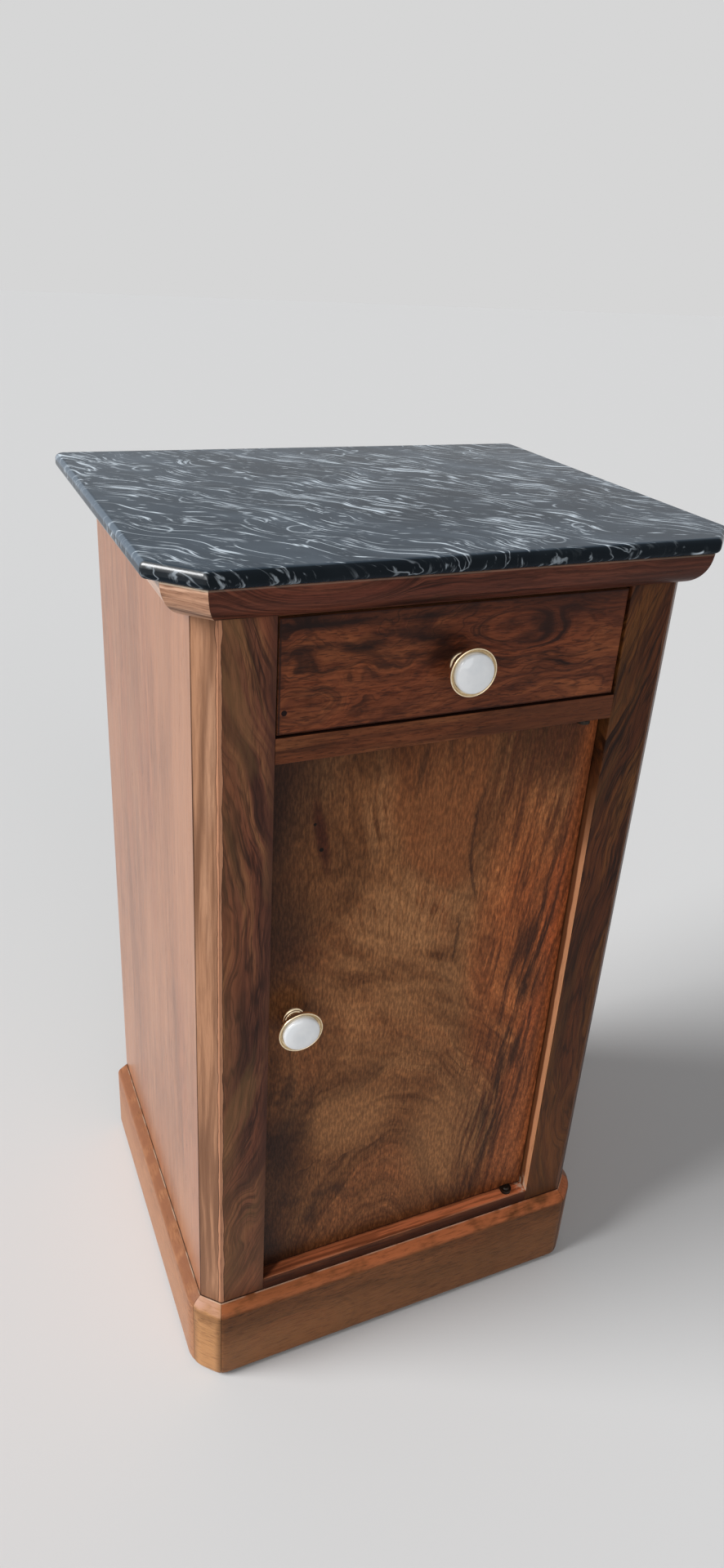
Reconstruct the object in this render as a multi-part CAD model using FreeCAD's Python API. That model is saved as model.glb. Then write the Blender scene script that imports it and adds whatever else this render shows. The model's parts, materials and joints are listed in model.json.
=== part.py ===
# A walnut bedside cupboard with a marble top: one drawer over one door.
# Millimetres, +Z up, +X to the right of someone facing the front, +Y towards the back.
# The origin lies on the floor, under the middle of the marble's outline.

import FreeCAD
import Part
import math
import os

from FreeCAD import Vector

# Carcass
carcass_width = 388.0
carcass_depth = 328.0
carcass_height = 767.0
corner_cant = 15.0
stile_width = 54.7
side_thickness = 18.0
arris_radius = 0.8

# Rails, shelf and floor between the sides
bottom_rail_show = 13.1
bottom_rail_height = 30.0
bottom_board_thickness = 18.0
drawer_rail_height = 20.2
drawer_opening_height = 88.1
top_rail_reveal = 1.5
back_rail_thickness = 18.0
top_back_rail_width = 40.0
cleat_width = 18.0
cleat_height = 22.0

# Back boards and their nails
back_thickness = 10.0
back_rebate = 9.0
back_board_lift = 25.0
back_board_gap = 0.8
back_board_count = 3
nail_length = 26.0
nail_radius = 1.2
nail_head_radius = 2.6
nail_head_thickness = 1.2
nail_place_shares = (0.18, 0.82)

# Plinth
plinth_height = 90.5
plinth_thickness = 10.2
plinth_chamfer_drop = 7.1
plinth_cant = 22.0

# Cornice
cornice_height = 26.0
cornice_projection = 21.4
cornice_cant = 24.0

# Marble top
marble_thickness = 12.0
marble_side_overhang = 31.7
marble_front_overhang = 24.0
marble_back_overhang = 9.5
marble_cant = 32.0
marble_edge_radius = 4.4
marble_round_share = 0.45
marble_front_corner_radius = 5.0
marble_back_corner_radius = 9.0

# Door, its stop and its catch
door_setback = 11.4
door_thickness = 18.0
door_side_gap = 1.5
door_end_gap = 1.4
door_stop_thickness = 10.0
door_stop_reach = 12.0
catch_radius = 4.0
catch_depth = 4.0
catch_rise_share = 0.68
keeper_depth = 2.0

# Door pivots
pivot_inset = 19.5
pivot_forward = 3.5
pivot_eye_radius = 5.5
pivot_arm_thickness = 3.0
pivot_leg_width = 11.0
pivot_leg_length = 46.0
pivot_pin_radius = 2.2
pivot_pin_clearance = 0.05
pivot_head_radius = 3.4
pivot_head_height = 1.2
pivot_socket_radius = 5.0
pivot_socket_depth = 9.0
pivot_collar_clearance = 0.3
pivot_screw_shares = (0.45, 0.85)

# Drawer, with the strips that guide it and the blocks that stop it
drawer_setback = 1.8
drawer_front_thickness = 18.0
drawer_side_gap = 1.5
drawer_bottom_gap = 1.1
drawer_top_gap = 2.3
drawer_back_room = 24.0
drawer_side_thickness = 10.0
drawer_side_drop = 3.0
drawer_back_thickness = 9.0
drawer_back_drop = 5.0
drawer_bottom_thickness = 5.0
drawer_bottom_rise = 9.0
drawer_groove_depth = 4.5
dovetail_count = 3
dovetail_lap = 4.0
dovetail_tip_share = 0.6
dovetail_root_share = 0.43
guide_height = 20.0
kicker_reach = 14.0
kicker_height = 20.0
kicker_clearance = 1.4
stop_width = 34.0
stop_depth = 22.0
stop_height = 6.0
stop_spacing = 150.0

# Knobs
knob_rim_radius = 18.6
knob_rim_reach = 18.9
knob_rim_roll = 3.6
knob_lip_width = 0.9
knob_base_radius = 9.7
knob_base_roll = 4.4
knob_collar_radius = 7.2
knob_neck_radius = 5.2
knob_neck_reach_share = 0.455
knob_cup_radius_share = 0.44
knob_cup_reach_share = 0.69
knob_bowl_radius_share = 0.82
knob_bowl_reach_share = 0.805
disc_recess_depth = 2.6
disc_edge_stand = 0.6
disc_edge_radius = 0.9
disc_rise = 3.3
drawer_knob_rise_share = 0.465
door_knob_rise_share = 0.55
door_knob_inset = 24.0
knob_screw_radius = 2.0
knob_screw_bite = 11.0
knob_screw_head_radius = 4.2
knob_screw_head_thickness = 2.4

# Wood screws and shared allowances
screw_radius = 1.4
screw_length = 16.0
screw_head_radius = 2.9
screw_head_depth = 1.8
slot_width = 0.8
slot_depth = 0.9
seat_clearance = 0.05
cut_overrun = 60.0

# Widths and depths that the pieces share
half_width = carcass_width / 2
half_opening = half_width - stile_width
inner_half = half_width - side_thickness
knob_lip_reach = knob_rim_reach + knob_rim_roll / 2
disc_edge_reach = knob_lip_reach + disc_edge_stand
disc_floor_reach = knob_lip_reach - disc_recess_depth
disc_radius = knob_rim_radius - knob_rim_roll / 2 - knob_lip_width
knob_length = disc_edge_reach + disc_rise
front_reach = max(marble_front_overhang, knob_length - drawer_setback)
front_y = (front_reach - carcass_depth - marble_back_overhang) / 2
back_y = front_y + carcass_depth
back_front = back_y - back_thickness
stile_back = front_y + door_setback + door_thickness

# Levels that the pieces share
bottom_rail_top = plinth_height + bottom_rail_show
bottom_board_low = bottom_rail_top - bottom_board_thickness
top_rail_bottom = carcass_height - cornice_height - top_rail_reveal
drawer_rail_top = top_rail_bottom - drawer_opening_height
drawer_rail_bottom = drawer_rail_top - drawer_rail_height

# The door's planes and places
door_face = front_y + door_setback
door_middle = door_face + door_thickness / 2
door_half = half_opening - door_side_gap
door_low = bottom_rail_top + door_end_gap
door_high = drawer_rail_bottom - door_end_gap
door_knob_x = door_knob_inset - half_opening
door_knob_z = door_low + door_knob_rise_share * (door_high - door_low)
catch_x = (door_stop_reach + door_side_gap) / 2 - half_opening
catch_z = door_low + catch_rise_share * (door_high - door_low)
pivot_x = half_opening - pivot_inset
pivot_y = door_face - pivot_forward

# The drawer's planes and places
drawer_face = front_y + drawer_setback
drawer_front_back = drawer_face + drawer_front_thickness
drawer_end = back_front - drawer_back_room
drawer_half = half_opening - drawer_side_gap
drawer_inner_half = drawer_half - drawer_side_thickness
drawer_front_low = drawer_rail_top + drawer_bottom_gap
drawer_front_high = top_rail_bottom - drawer_top_gap
drawer_side_high = drawer_front_high - drawer_side_drop
drawer_bottom_low = drawer_rail_top + drawer_bottom_rise
drawer_bottom_high = drawer_bottom_low + drawer_bottom_thickness
drawer_knob_z = drawer_front_low + drawer_knob_rise_share * (drawer_front_high - drawer_front_low)
kicker_low = drawer_side_high + kicker_clearance

UP = Vector(0, 0, 1)
DOWN = Vector(0, 0, -1)
FORWARD = Vector(0, -1, 0)
BACKWARD = Vector(0, 1, 0)
ACROSS = Vector(1, 0, 0)
MIDDLE = Vector(0, 0, 0)


# Shapes that several pieces use

def board(x_low, x_high, y_low, y_high, z_low, z_high):
    corner = Vector(x_low, y_low, z_low)
    return Part.makeBox(x_high - x_low, y_high - y_low, z_high - z_low, corner)


def flat(points):
    """The face inside a closed line of straight edges."""
    return Part.Face(Part.makePolygon(points + points[:1]))


def prism(outline, z_low, z_high):
    face = flat([Vector(x, y, z_low) for x, y in outline])
    return face.extrude(UP * (z_high - z_low))


def mirrored(shape):
    return shape.mirror(MIDDLE, ACROSS)


def edges_at(shape, x=None, y=None, z=None):
    """The edges whose ends all lie on the coordinates that are given."""
    def lies_on(point):
        pairs = ((point.x, x), (point.y, y), (point.z, z))
        return all(want is None or math.isclose(have, want, abs_tol=1e-6) for have, want in pairs)
    return [edge for edge in shape.Edges if all(lies_on(vertex.Point) for vertex in edge.Vertexes)]


def eased(shape, edges):
    return shape.makeFillet(arris_radius, edges)


def line(start, end):
    return Part.LineSegment(start, end).toShape()


def arc(start, middle, end):
    return Part.Arc(start, middle, end).toShape()


def turned(profile, x, z):
    """A solid of revolution about the line through x and z that runs front to back."""
    face = Part.Face(Part.Wire(profile))
    return face.revolve(Vector(x, 0, z), FORWARD, 360)


def wood_screw(place, direction, clearance=0):
    """A countersunk screw with its head flush at the place and its point along the direction."""
    head_radius = screw_head_radius + clearance
    radius = screw_radius + clearance
    head = Part.makeCone(head_radius, radius, screw_head_depth, place, direction)
    shank = Part.makeCylinder(radius, screw_length + clearance, place, direction)
    return head.fuse(shank).removeSplitter()


def slotted(screw, place, direction, head_radius):
    """The screw with a driver slot across its head."""
    corner = Vector(-head_radius, -slot_width / 2, 0)
    slot = Part.makeBox(2 * head_radius, slot_width, slot_depth, corner)
    slot.Placement = FreeCAD.Placement(place, FreeCAD.Rotation(UP, direction))
    return screw.cut(slot)


# Carcass: side panels, canted front stiles, rails and the boards between them

def side_panel():
    panel = board(-half_width, -inner_half, front_y + corner_cant, back_y, 0, carcass_height)
    rebate = board(-inner_half - back_rebate, -inner_half, back_front, back_y, 0, carcass_height)
    return panel.cut(rebate)


def front_stile():
    """A post whose canted lip covers the front edge of the side panel."""
    outline = [
        (-half_opening, front_y),
        (-half_width + corner_cant, front_y),
        (-half_width, front_y + corner_cant),
        (-inner_half, front_y + corner_cant),
        (-inner_half, stile_back),
        (-half_opening, stile_back),
    ]
    stile = prism(outline, 0, carcass_height)
    arrises = edges_at(stile, x=-half_opening, y=front_y)
    arrises += edges_at(stile, x=-half_width + corner_cant, y=front_y)
    return eased(stile, arrises)


def pivot_seat(z_low, z_high):
    """The round hole that a pivot socket is let into."""
    place = Vector(pivot_x, pivot_y, z_low)
    return Part.makeCylinder(pivot_socket_radius + seat_clearance, z_high - z_low, place)


def bottom_rail():
    low = bottom_rail_top - bottom_rail_height
    rail = board(-half_opening, half_opening, front_y, stile_back, low, bottom_rail_top)
    rail = eased(rail, edges_at(rail, y=front_y, z=bottom_rail_top))
    return rail.cut(pivot_seat(bottom_rail_top - pivot_socket_depth, bottom_rail_top))


def drawer_rail():
    rail = board(-half_opening, half_opening, front_y, stile_back, drawer_rail_bottom, drawer_rail_top)
    arrises = edges_at(rail, y=front_y, z=drawer_rail_top)
    arrises += edges_at(rail, y=front_y, z=drawer_rail_bottom)
    rail = eased(rail, arrises)
    return rail.cut(pivot_seat(drawer_rail_bottom, drawer_rail_bottom + pivot_socket_depth))


def top_rail_front():
    return board(-half_opening, half_opening, front_y, stile_back, top_rail_bottom, carcass_height)


def top_rail_back():
    front = back_front - top_back_rail_width
    rail = board(-inner_half, inner_half, front, back_front, top_rail_bottom, carcass_height)
    return rail.cut(nail_holes())


def drawer_shelf():
    shelf = board(-inner_half, inner_half, stile_back, back_front, drawer_rail_bottom, drawer_rail_top)
    return shelf.cut(nail_holes())


def bottom_board():
    return board(-inner_half, inner_half, stile_back, back_front, bottom_board_low, bottom_rail_top)


def bottom_cleat():
    low = bottom_board_low - cleat_height
    back = back_front - back_rail_thickness
    return board(-inner_half, -inner_half + cleat_width, stile_back, back, low, bottom_board_low)


def back_rail_bottom():
    front = back_front - back_rail_thickness
    rail = board(-inner_half, inner_half, front, back_front, 0, bottom_board_low)
    return rail.cut(nail_holes())


def drawer_guide():
    high = drawer_rail_top + guide_height
    return board(-inner_half, -half_opening, stile_back, back_front, drawer_rail_top, high)


def drawer_kicker():
    back = back_front - top_back_rail_width
    high = kicker_low + kicker_height
    return board(-inner_half, -half_opening + kicker_reach, stile_back, back, kicker_low, high)


def drawer_stops():
    """Two blocks on the rail and shelf that the drawer front comes up against."""
    left = (stop_spacing - stop_width) / 2
    back = drawer_front_back + stop_depth
    high = drawer_rail_top + stop_height
    block = board(left, left + stop_width, drawer_front_back, back, drawer_rail_top, high)
    return Part.makeCompound([block, mirrored(block)])


# Back: upright boards in the rebates of the sides, nailed to the rails and the shelf

board_pitch = 2 * (inner_half + back_rebate) / back_board_count
nail_rows = (
    (back_board_lift + bottom_board_low) / 2,
    (drawer_rail_bottom + drawer_rail_top) / 2,
    (top_rail_bottom + carcass_height) / 2,
)


def board_left(index):
    return index * board_pitch - inner_half - back_rebate


def nail_places():
    places = []
    for index in range(back_board_count):
        for share in nail_place_shares:
            x = board_left(index) + share * board_pitch
            places += [Vector(x, back_y, z) for z in nail_rows]
    return places


def nail_holes():
    radius = nail_radius + seat_clearance
    depth = nail_length + seat_clearance
    holes = [Part.makeCylinder(radius, depth, place, FORWARD) for place in nail_places()]
    return Part.makeCompound(holes)


def back_nails():
    nails = []
    for place in nail_places():
        shank = Part.makeCylinder(nail_radius, nail_length, place, FORWARD)
        head = Part.makeCylinder(nail_head_radius, nail_head_thickness, place, BACKWARD)
        nails.append(shank.fuse(head).removeSplitter())
    return Part.makeCompound(nails)


def back_board(index):
    left = board_left(index) + back_board_gap / 2
    right = board_left(index + 1) - back_board_gap / 2
    plank = board(left, right, back_front, back_y, back_board_lift, carcass_height)
    return plank.cut(nail_holes())


# Plinth and cornice: mitred lengths that run round the sides, the canted corners and the front

def outline_round(projection, cant):
    """Plan corners from the back of the left side, round the front, to the back of the right side."""
    side = half_width + projection
    front = front_y - projection
    left = [(-side, back_y), (-side, front + cant), (-side + cant, front)]
    right = [(-x, y) for x, y in reversed(left)]
    return left + right


def mitred_length(index, projection, cant, section):
    """One length of a moulding between two mitres, with its section drawn at its own projection."""
    inner = outline_round(0, corner_cant)
    outer = outline_round(projection, cant)
    start = Vector(*inner[index], 0)
    end = Vector(*inner[index + 1], 0)
    along = (end - start).normalize()
    outward = along.cross(UP)
    reach = (Vector(*outer[index], 0) - start).dot(outward)
    face = Part.Face(Part.Wire(section(start - along * cut_overrun, outward * reach)))
    bar = face.extrude(along * ((end - start).Length + 2 * cut_overrun))
    plan = [inner[index], inner[index + 1], outer[index + 1], outer[index]]
    return bar.common(prism(plan, 0, carcass_height))


def plinth_section(origin, reach):
    """A plain board whose top slopes back to the carcass."""
    corners = [
        origin,
        origin + reach,
        origin + reach + UP * (plinth_height - plinth_chamfer_drop),
        origin + UP * plinth_height,
    ]
    return [line(corners[i - 1], corners[i]) for i in range(len(corners))]


def cornice_section(origin, reach):
    """A quarter-ellipse ovolo: level where it leaves the carcass, upright under the marble."""
    foot = origin + UP * (carcass_height - cornice_height)
    brow = origin + reach + UP * carcass_height
    root = origin + UP * carcass_height
    ovolo = Part.BezierCurve()
    ovolo.setPoles([foot, foot + reach, brow])
    ovolo.setWeight(2, math.sqrt(1 / 2))
    return [ovolo.toShape(), line(brow, root), line(root, foot)]


def plinth_length(index):
    return mitred_length(index, plinth_thickness, plinth_cant, plinth_section)


def cornice_length(index):
    return mitred_length(index, cornice_projection, cornice_cant, cornice_section)


# Marble: a slab with canted front corners and rounded edges that lies on the carcass

def marble_top():
    side = half_width + marble_side_overhang
    front = front_y - marble_front_overhang
    back = back_y + marble_back_overhang
    top = carcass_height + marble_thickness
    left = [(-side, back), (-side, front + marble_cant), (-side + marble_cant, front)]
    outline = left + [(-x, y) for x, y in reversed(left)]
    slab = prism(outline, carcass_height, top)
    back_corners = edges_at(slab, x=-side, y=back) + edges_at(slab, x=side, y=back)
    slab = slab.makeFillet(marble_back_corner_radius, back_corners)
    front_corners = []
    for x, y in outline[1:-1]:
        front_corners += edges_at(slab, x=x, y=y)
    slab = slab.makeFillet(marble_front_corner_radius, front_corners)
    rims = edges_at(slab, z=carcass_height) + edges_at(slab, z=top)
    return slab.makeFillet(min(marble_edge_radius, marble_round_share * marble_thickness), rims)


# Door: one veneered slab that swings on a pivot pin at its top and its bottom

def pivot_screws(clearance=0):
    """The screws that hold both arms, or the holes for them where a clearance is given."""
    xs = [pivot_x - share * pivot_leg_length for share in pivot_screw_shares]
    places = [(Vector(x, door_middle, door_low), UP) for x in xs]
    places += [(Vector(x, door_middle, door_high), DOWN) for x in xs]
    screws = []
    for place, direction in places:
        screw = wood_screw(place, direction, clearance)
        screws.append(screw if clearance else slotted(screw, place, direction, screw_head_radius))
    return Part.makeCompound(screws)


def pivot_arm_blank(z_low):
    """An L-shaped iron arm: its eye stands in front of the door, its leg lies in the door's edge."""
    z_high = z_low + pivot_arm_thickness
    left = pivot_x - pivot_eye_radius
    right = pivot_x + pivot_eye_radius
    leg_front = door_middle - pivot_leg_width / 2
    leg_back = door_middle + pivot_leg_width / 2
    eye = Part.makeCylinder(pivot_eye_radius, pivot_arm_thickness, Vector(pivot_x, pivot_y, z_low))
    shank = board(left, right, pivot_y, leg_back, z_low, z_high)
    leg = board(pivot_x - pivot_leg_length, right, leg_front, leg_back, z_low, z_high)
    return eye.fuse([shank, leg]).removeSplitter()


def pivot_arm(z_low):
    place = Vector(pivot_x, pivot_y, z_low)
    hole = Part.makeCylinder(pivot_pin_radius + seat_clearance, pivot_arm_thickness, place)
    return pivot_arm_blank(z_low).cut(hole).cut(pivot_screws(seat_clearance))


def pivot_pin(eye_face, rail_face):
    """A pin riveted over the eye, which reaches to the bottom of the socket in the rail."""
    sense = UP if eye_face > rail_face else DOWN
    tip = Vector(pivot_x, pivot_y, rail_face) - sense * pivot_socket_depth
    seat = Vector(pivot_x, pivot_y, eye_face)
    shank = Part.makeCylinder(pivot_pin_radius, (seat - tip).Length, tip, sense)
    head = Part.makeCone(pivot_head_radius, pivot_pin_radius, pivot_head_height, seat, sense)
    return shank.fuse(head).removeSplitter()


def pivot_socket(rail_face, sense):
    """A bush let into a rail, with a collar that the eye turns on."""
    length = pivot_socket_depth + door_end_gap - pivot_collar_clearance
    foot = Vector(pivot_x, pivot_y, rail_face) - sense * pivot_socket_depth
    bush = Part.makeCylinder(pivot_socket_radius, length, foot, sense)
    return bush.cut(Part.makeCylinder(pivot_pin_radius + pivot_pin_clearance, length, foot, sense))


def catch_keeper(clearance=0):
    """The steel button in the back of the door, or the hole for it."""
    place = Vector(catch_x, stile_back, catch_z)
    return Part.makeCylinder(catch_radius + clearance, keeper_depth, place, FORWARD)


def catch_magnet(clearance=0):
    """The magnet in the face of the door stop, or the hole for it."""
    place = Vector(catch_x, stile_back, catch_z)
    return Part.makeCylinder(catch_radius + clearance, catch_depth, place, BACKWARD)


def door_stop():
    back = stile_back + door_stop_thickness
    right = -half_opening + door_stop_reach
    strip = board(-inner_half, right, stile_back, back, bottom_rail_top, drawer_rail_bottom)
    return strip.cut(catch_magnet(seat_clearance))


def door_panel():
    slab = board(-door_half, door_half, door_face, stile_back, door_low, door_high)
    slab = eased(slab, edges_at(slab, y=door_face))
    for z_low in (door_low, door_high - pivot_arm_thickness):
        slab = slab.cut(pivot_arm_blank(z_low))
    slab = slab.cut(pivot_screws(seat_clearance)).cut(catch_keeper(seat_clearance))
    return slab.cut(knob_screw_hole(door_knob_x, stile_back, door_thickness, door_knob_z))


# Drawer: a veneered front dovetailed to plain sides, with the bottom in a groove

def dovetails():
    """The tails of the left side, which the sockets in the drawer front match."""
    pitch = (drawer_side_high - drawer_front_low) / dovetail_count
    tip_half = dovetail_tip_share * pitch / 2
    root_half = dovetail_root_share * pitch / 2
    tip_y = drawer_face + dovetail_lap
    tails = []
    for index in range(dovetail_count):
        middle = drawer_front_low + index * pitch + pitch / 2
        face = flat([
            Vector(-drawer_half, drawer_front_back, middle - root_half),
            Vector(-drawer_half, drawer_front_back, middle + root_half),
            Vector(-drawer_half, tip_y, middle + tip_half),
            Vector(-drawer_half, tip_y, middle - tip_half),
        ])
        tails.append(face.extrude(ACROSS * drawer_side_thickness))
    return tails


def drawer_bottom():
    """The thin board that also gives the groove in the sides and the front."""
    half = drawer_inner_half + drawer_groove_depth
    front = drawer_front_back - drawer_groove_depth
    return board(-half, half, front, drawer_end, drawer_bottom_low, drawer_bottom_high)


def drawer_front():
    front = board(-drawer_half, drawer_half, drawer_face, drawer_front_back,
                  drawer_front_low, drawer_front_high)
    front = eased(front, edges_at(front, y=drawer_face))
    for tail in dovetails():
        front = front.cut(tail).cut(mirrored(tail))
    front = front.cut(drawer_bottom())
    return front.cut(knob_screw_hole(0, drawer_front_back, drawer_front_thickness, drawer_knob_z))


def drawer_side():
    side = board(-drawer_half, -drawer_inner_half, drawer_front_back, drawer_end,
                 drawer_rail_top, drawer_side_high)
    return side.fuse(dovetails()).removeSplitter().cut(drawer_bottom())


def drawer_back():
    front = drawer_end - drawer_back_thickness
    high = drawer_side_high - drawer_back_drop
    return board(-drawer_inner_half, drawer_inner_half, front, drawer_end, drawer_bottom_high, high)


# Knobs: a turned brass body with a porcelain disc, held by a screw from inside

def knob_screw_hole(x, inside_y, thickness, z):
    place = Vector(x, inside_y, z)
    return Part.makeCylinder(knob_screw_radius + seat_clearance, thickness, place, FORWARD)


def knob_screw(x, inside_y, thickness, z):
    place = Vector(x, inside_y, z)
    crown = place + BACKWARD * knob_screw_head_thickness
    shank = Part.makeCylinder(knob_screw_radius, thickness + knob_screw_bite, place, FORWARD)
    head = Part.makeCylinder(knob_screw_head_radius, knob_screw_head_thickness, crown, FORWARD)
    return slotted(shank.fuse(head).removeSplitter(), crown, FORWARD, knob_screw_head_radius)


def knob_body(x, face_y, z):
    """Rolled base, hollow neck, and a bowl whose rim holds the disc; bored from behind for the screw."""
    def at(radius, reach):
        return Vector(x + radius, face_y - reach, z)
    roll = knob_base_roll / 2
    rim = knob_rim_roll / 2
    bore = knob_screw_radius + seat_clearance
    seat = disc_radius + seat_clearance
    neck_reach = knob_neck_reach_share * knob_rim_reach
    bowl_middle = at(knob_bowl_radius_share * knob_rim_radius, knob_bowl_reach_share * knob_rim_reach)
    foot = at(bore, 0)
    base_low = at(knob_base_radius - roll, 0)
    base_high = at(knob_base_radius - roll, knob_base_roll)
    collar = at(knob_collar_radius, knob_base_roll)
    cup = at(knob_cup_radius_share * knob_rim_radius, knob_cup_reach_share * knob_rim_reach)
    rim_low = at(knob_rim_radius - rim, knob_rim_reach - rim)
    rim_high = at(knob_rim_radius - rim, knob_lip_reach)
    lip = at(seat, knob_lip_reach)
    floor_edge = at(seat, disc_floor_reach)
    floor_middle = at(0, disc_floor_reach)
    bore_middle = at(0, knob_screw_bite)
    bore_end = at(bore, knob_screw_bite)
    profile = [
        line(foot, base_low),
        arc(base_low, at(knob_base_radius, roll), base_high),
        line(base_high, collar),
        arc(collar, at(knob_neck_radius, neck_reach), cup),
        arc(cup, bowl_middle, rim_low),
        arc(rim_low, at(knob_rim_radius, knob_rim_reach), rim_high),
        line(rim_high, lip),
        line(lip, floor_edge),
        line(floor_edge, floor_middle),
        line(floor_middle, bore_middle),
        line(bore_middle, bore_end),
        line(bore_end, foot),
    ]
    return turned(profile, x, z)


def knob_disc(x, face_y, z):
    """A porcelain disc with a shallow dome, seated in the rim of the knob."""
    def at(radius, reach):
        return Vector(x + radius, face_y - reach, z)
    dome_radius = (disc_radius ** 2 + disc_rise ** 2) / (2 * disc_rise)
    half_chord = disc_radius / 2
    half_rise = math.sqrt(dome_radius ** 2 - half_chord ** 2) - dome_radius
    floor_middle = at(0, disc_floor_reach)
    floor_edge = at(disc_radius, disc_floor_reach)
    brim = at(disc_radius, disc_edge_reach)
    crown = at(0, knob_length)
    profile = [
        line(floor_middle, floor_edge),
        line(floor_edge, brim),
        arc(brim, at(half_chord, knob_length + half_rise), crown),
        line(crown, floor_middle),
    ]
    disc = turned(profile, x, z)
    return disc.makeFillet(disc_edge_radius, edges_at(disc, y=face_y - disc_edge_reach))


# Every piece, by the name of its node

def save(name, shape):
    shape.exportStep(os.path.join("parts", name + ".step"))


def save_pair(name, left_piece):
    save(name + "_left", left_piece)
    save(name + "_right", mirrored(left_piece))


os.makedirs("parts", exist_ok=True)

save_pair("side_panel", side_panel())
save_pair("front_stile", front_stile())
save_pair("bottom_cleat", bottom_cleat())
save_pair("drawer_guide", drawer_guide())
save_pair("drawer_kicker", drawer_kicker())
save("bottom_rail", bottom_rail())
save("bottom_board", bottom_board())
save("drawer_rail", drawer_rail())
save("drawer_shelf", drawer_shelf())
save("drawer_stops", drawer_stops())
save("top_rail_front", top_rail_front())
save("top_rail_back", top_rail_back())
save("back_rail_bottom", back_rail_bottom())
for index, place in enumerate(("left", "middle", "right")):
    save("back_board_" + place, back_board(index))
save("back_nails", back_nails())
for index, place in enumerate(("left", "corner_left", "front", "corner_right", "right")):
    save("plinth_" + place, plinth_length(index))
    save("cornice_" + place, cornice_length(index))
save("marble_top", marble_top())
save("door_stop", door_stop())
save("catch_magnet", catch_magnet())
save("pivot_socket_bottom", pivot_socket(bottom_rail_top, UP))
save("pivot_socket_top", pivot_socket(drawer_rail_bottom, DOWN))

save("door_panel", door_panel())
save("pivot_arm_bottom", pivot_arm(door_low))
save("pivot_arm_top", pivot_arm(door_high - pivot_arm_thickness))
save("pivot_pin_bottom", pivot_pin(door_low + pivot_arm_thickness, bottom_rail_top))
save("pivot_pin_top", pivot_pin(door_high - pivot_arm_thickness, drawer_rail_bottom))
save("pivot_arm_screws", pivot_screws())
save("catch_keeper", catch_keeper())
save("door_knob_body", knob_body(door_knob_x, door_face, door_knob_z))
save("door_knob_disc", knob_disc(door_knob_x, door_face, door_knob_z))
save("door_knob_screw", knob_screw(door_knob_x, stile_back, door_thickness, door_knob_z))

save("drawer_front", drawer_front())
save_pair("drawer_side", drawer_side())
save("drawer_back", drawer_back())
save("drawer_bottom", drawer_bottom())
save("drawer_knob_body", knob_body(0, drawer_face, drawer_knob_z))
save("drawer_knob_disc", knob_disc(0, drawer_face, drawer_knob_z))
save("drawer_knob_screw", knob_screw(0, drawer_front_back, drawer_front_thickness, drawer_knob_z))
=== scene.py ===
import bmesh
import bpy
import json
import math

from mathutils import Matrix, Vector

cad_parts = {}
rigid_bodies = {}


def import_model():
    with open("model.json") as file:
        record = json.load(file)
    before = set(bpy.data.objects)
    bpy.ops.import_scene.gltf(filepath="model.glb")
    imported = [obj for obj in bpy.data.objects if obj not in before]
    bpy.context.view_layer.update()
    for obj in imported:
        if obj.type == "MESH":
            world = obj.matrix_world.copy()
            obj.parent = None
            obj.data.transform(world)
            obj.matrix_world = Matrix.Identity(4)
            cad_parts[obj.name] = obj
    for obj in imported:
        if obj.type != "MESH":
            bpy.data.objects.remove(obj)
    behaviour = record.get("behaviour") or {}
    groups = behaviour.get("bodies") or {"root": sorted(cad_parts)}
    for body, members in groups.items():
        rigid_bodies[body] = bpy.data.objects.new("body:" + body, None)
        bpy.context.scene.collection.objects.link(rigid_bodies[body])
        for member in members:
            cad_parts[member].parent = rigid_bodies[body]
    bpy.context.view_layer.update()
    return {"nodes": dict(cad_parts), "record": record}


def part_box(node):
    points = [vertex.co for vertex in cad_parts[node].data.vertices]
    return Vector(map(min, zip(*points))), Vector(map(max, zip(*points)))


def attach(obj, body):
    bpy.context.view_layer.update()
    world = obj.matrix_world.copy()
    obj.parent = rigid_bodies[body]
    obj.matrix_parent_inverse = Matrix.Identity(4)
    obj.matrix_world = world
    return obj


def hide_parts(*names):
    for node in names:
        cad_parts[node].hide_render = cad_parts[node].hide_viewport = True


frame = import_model()


# Front posts. Two solid posts with canted outer corners carry the front of the cupboard.
# Figured walnut veneer is glued over them and french polished; years of rubbing have taken the
# stain off the long arris beside each cant, and the edge that the door closes into is bare, its pale
# colour partly painted light. The left cant and outer edge are painted pale as painted light, the
# right ones dark as painted shade, and the left post is darker along its inner edge, a painted shade.

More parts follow.
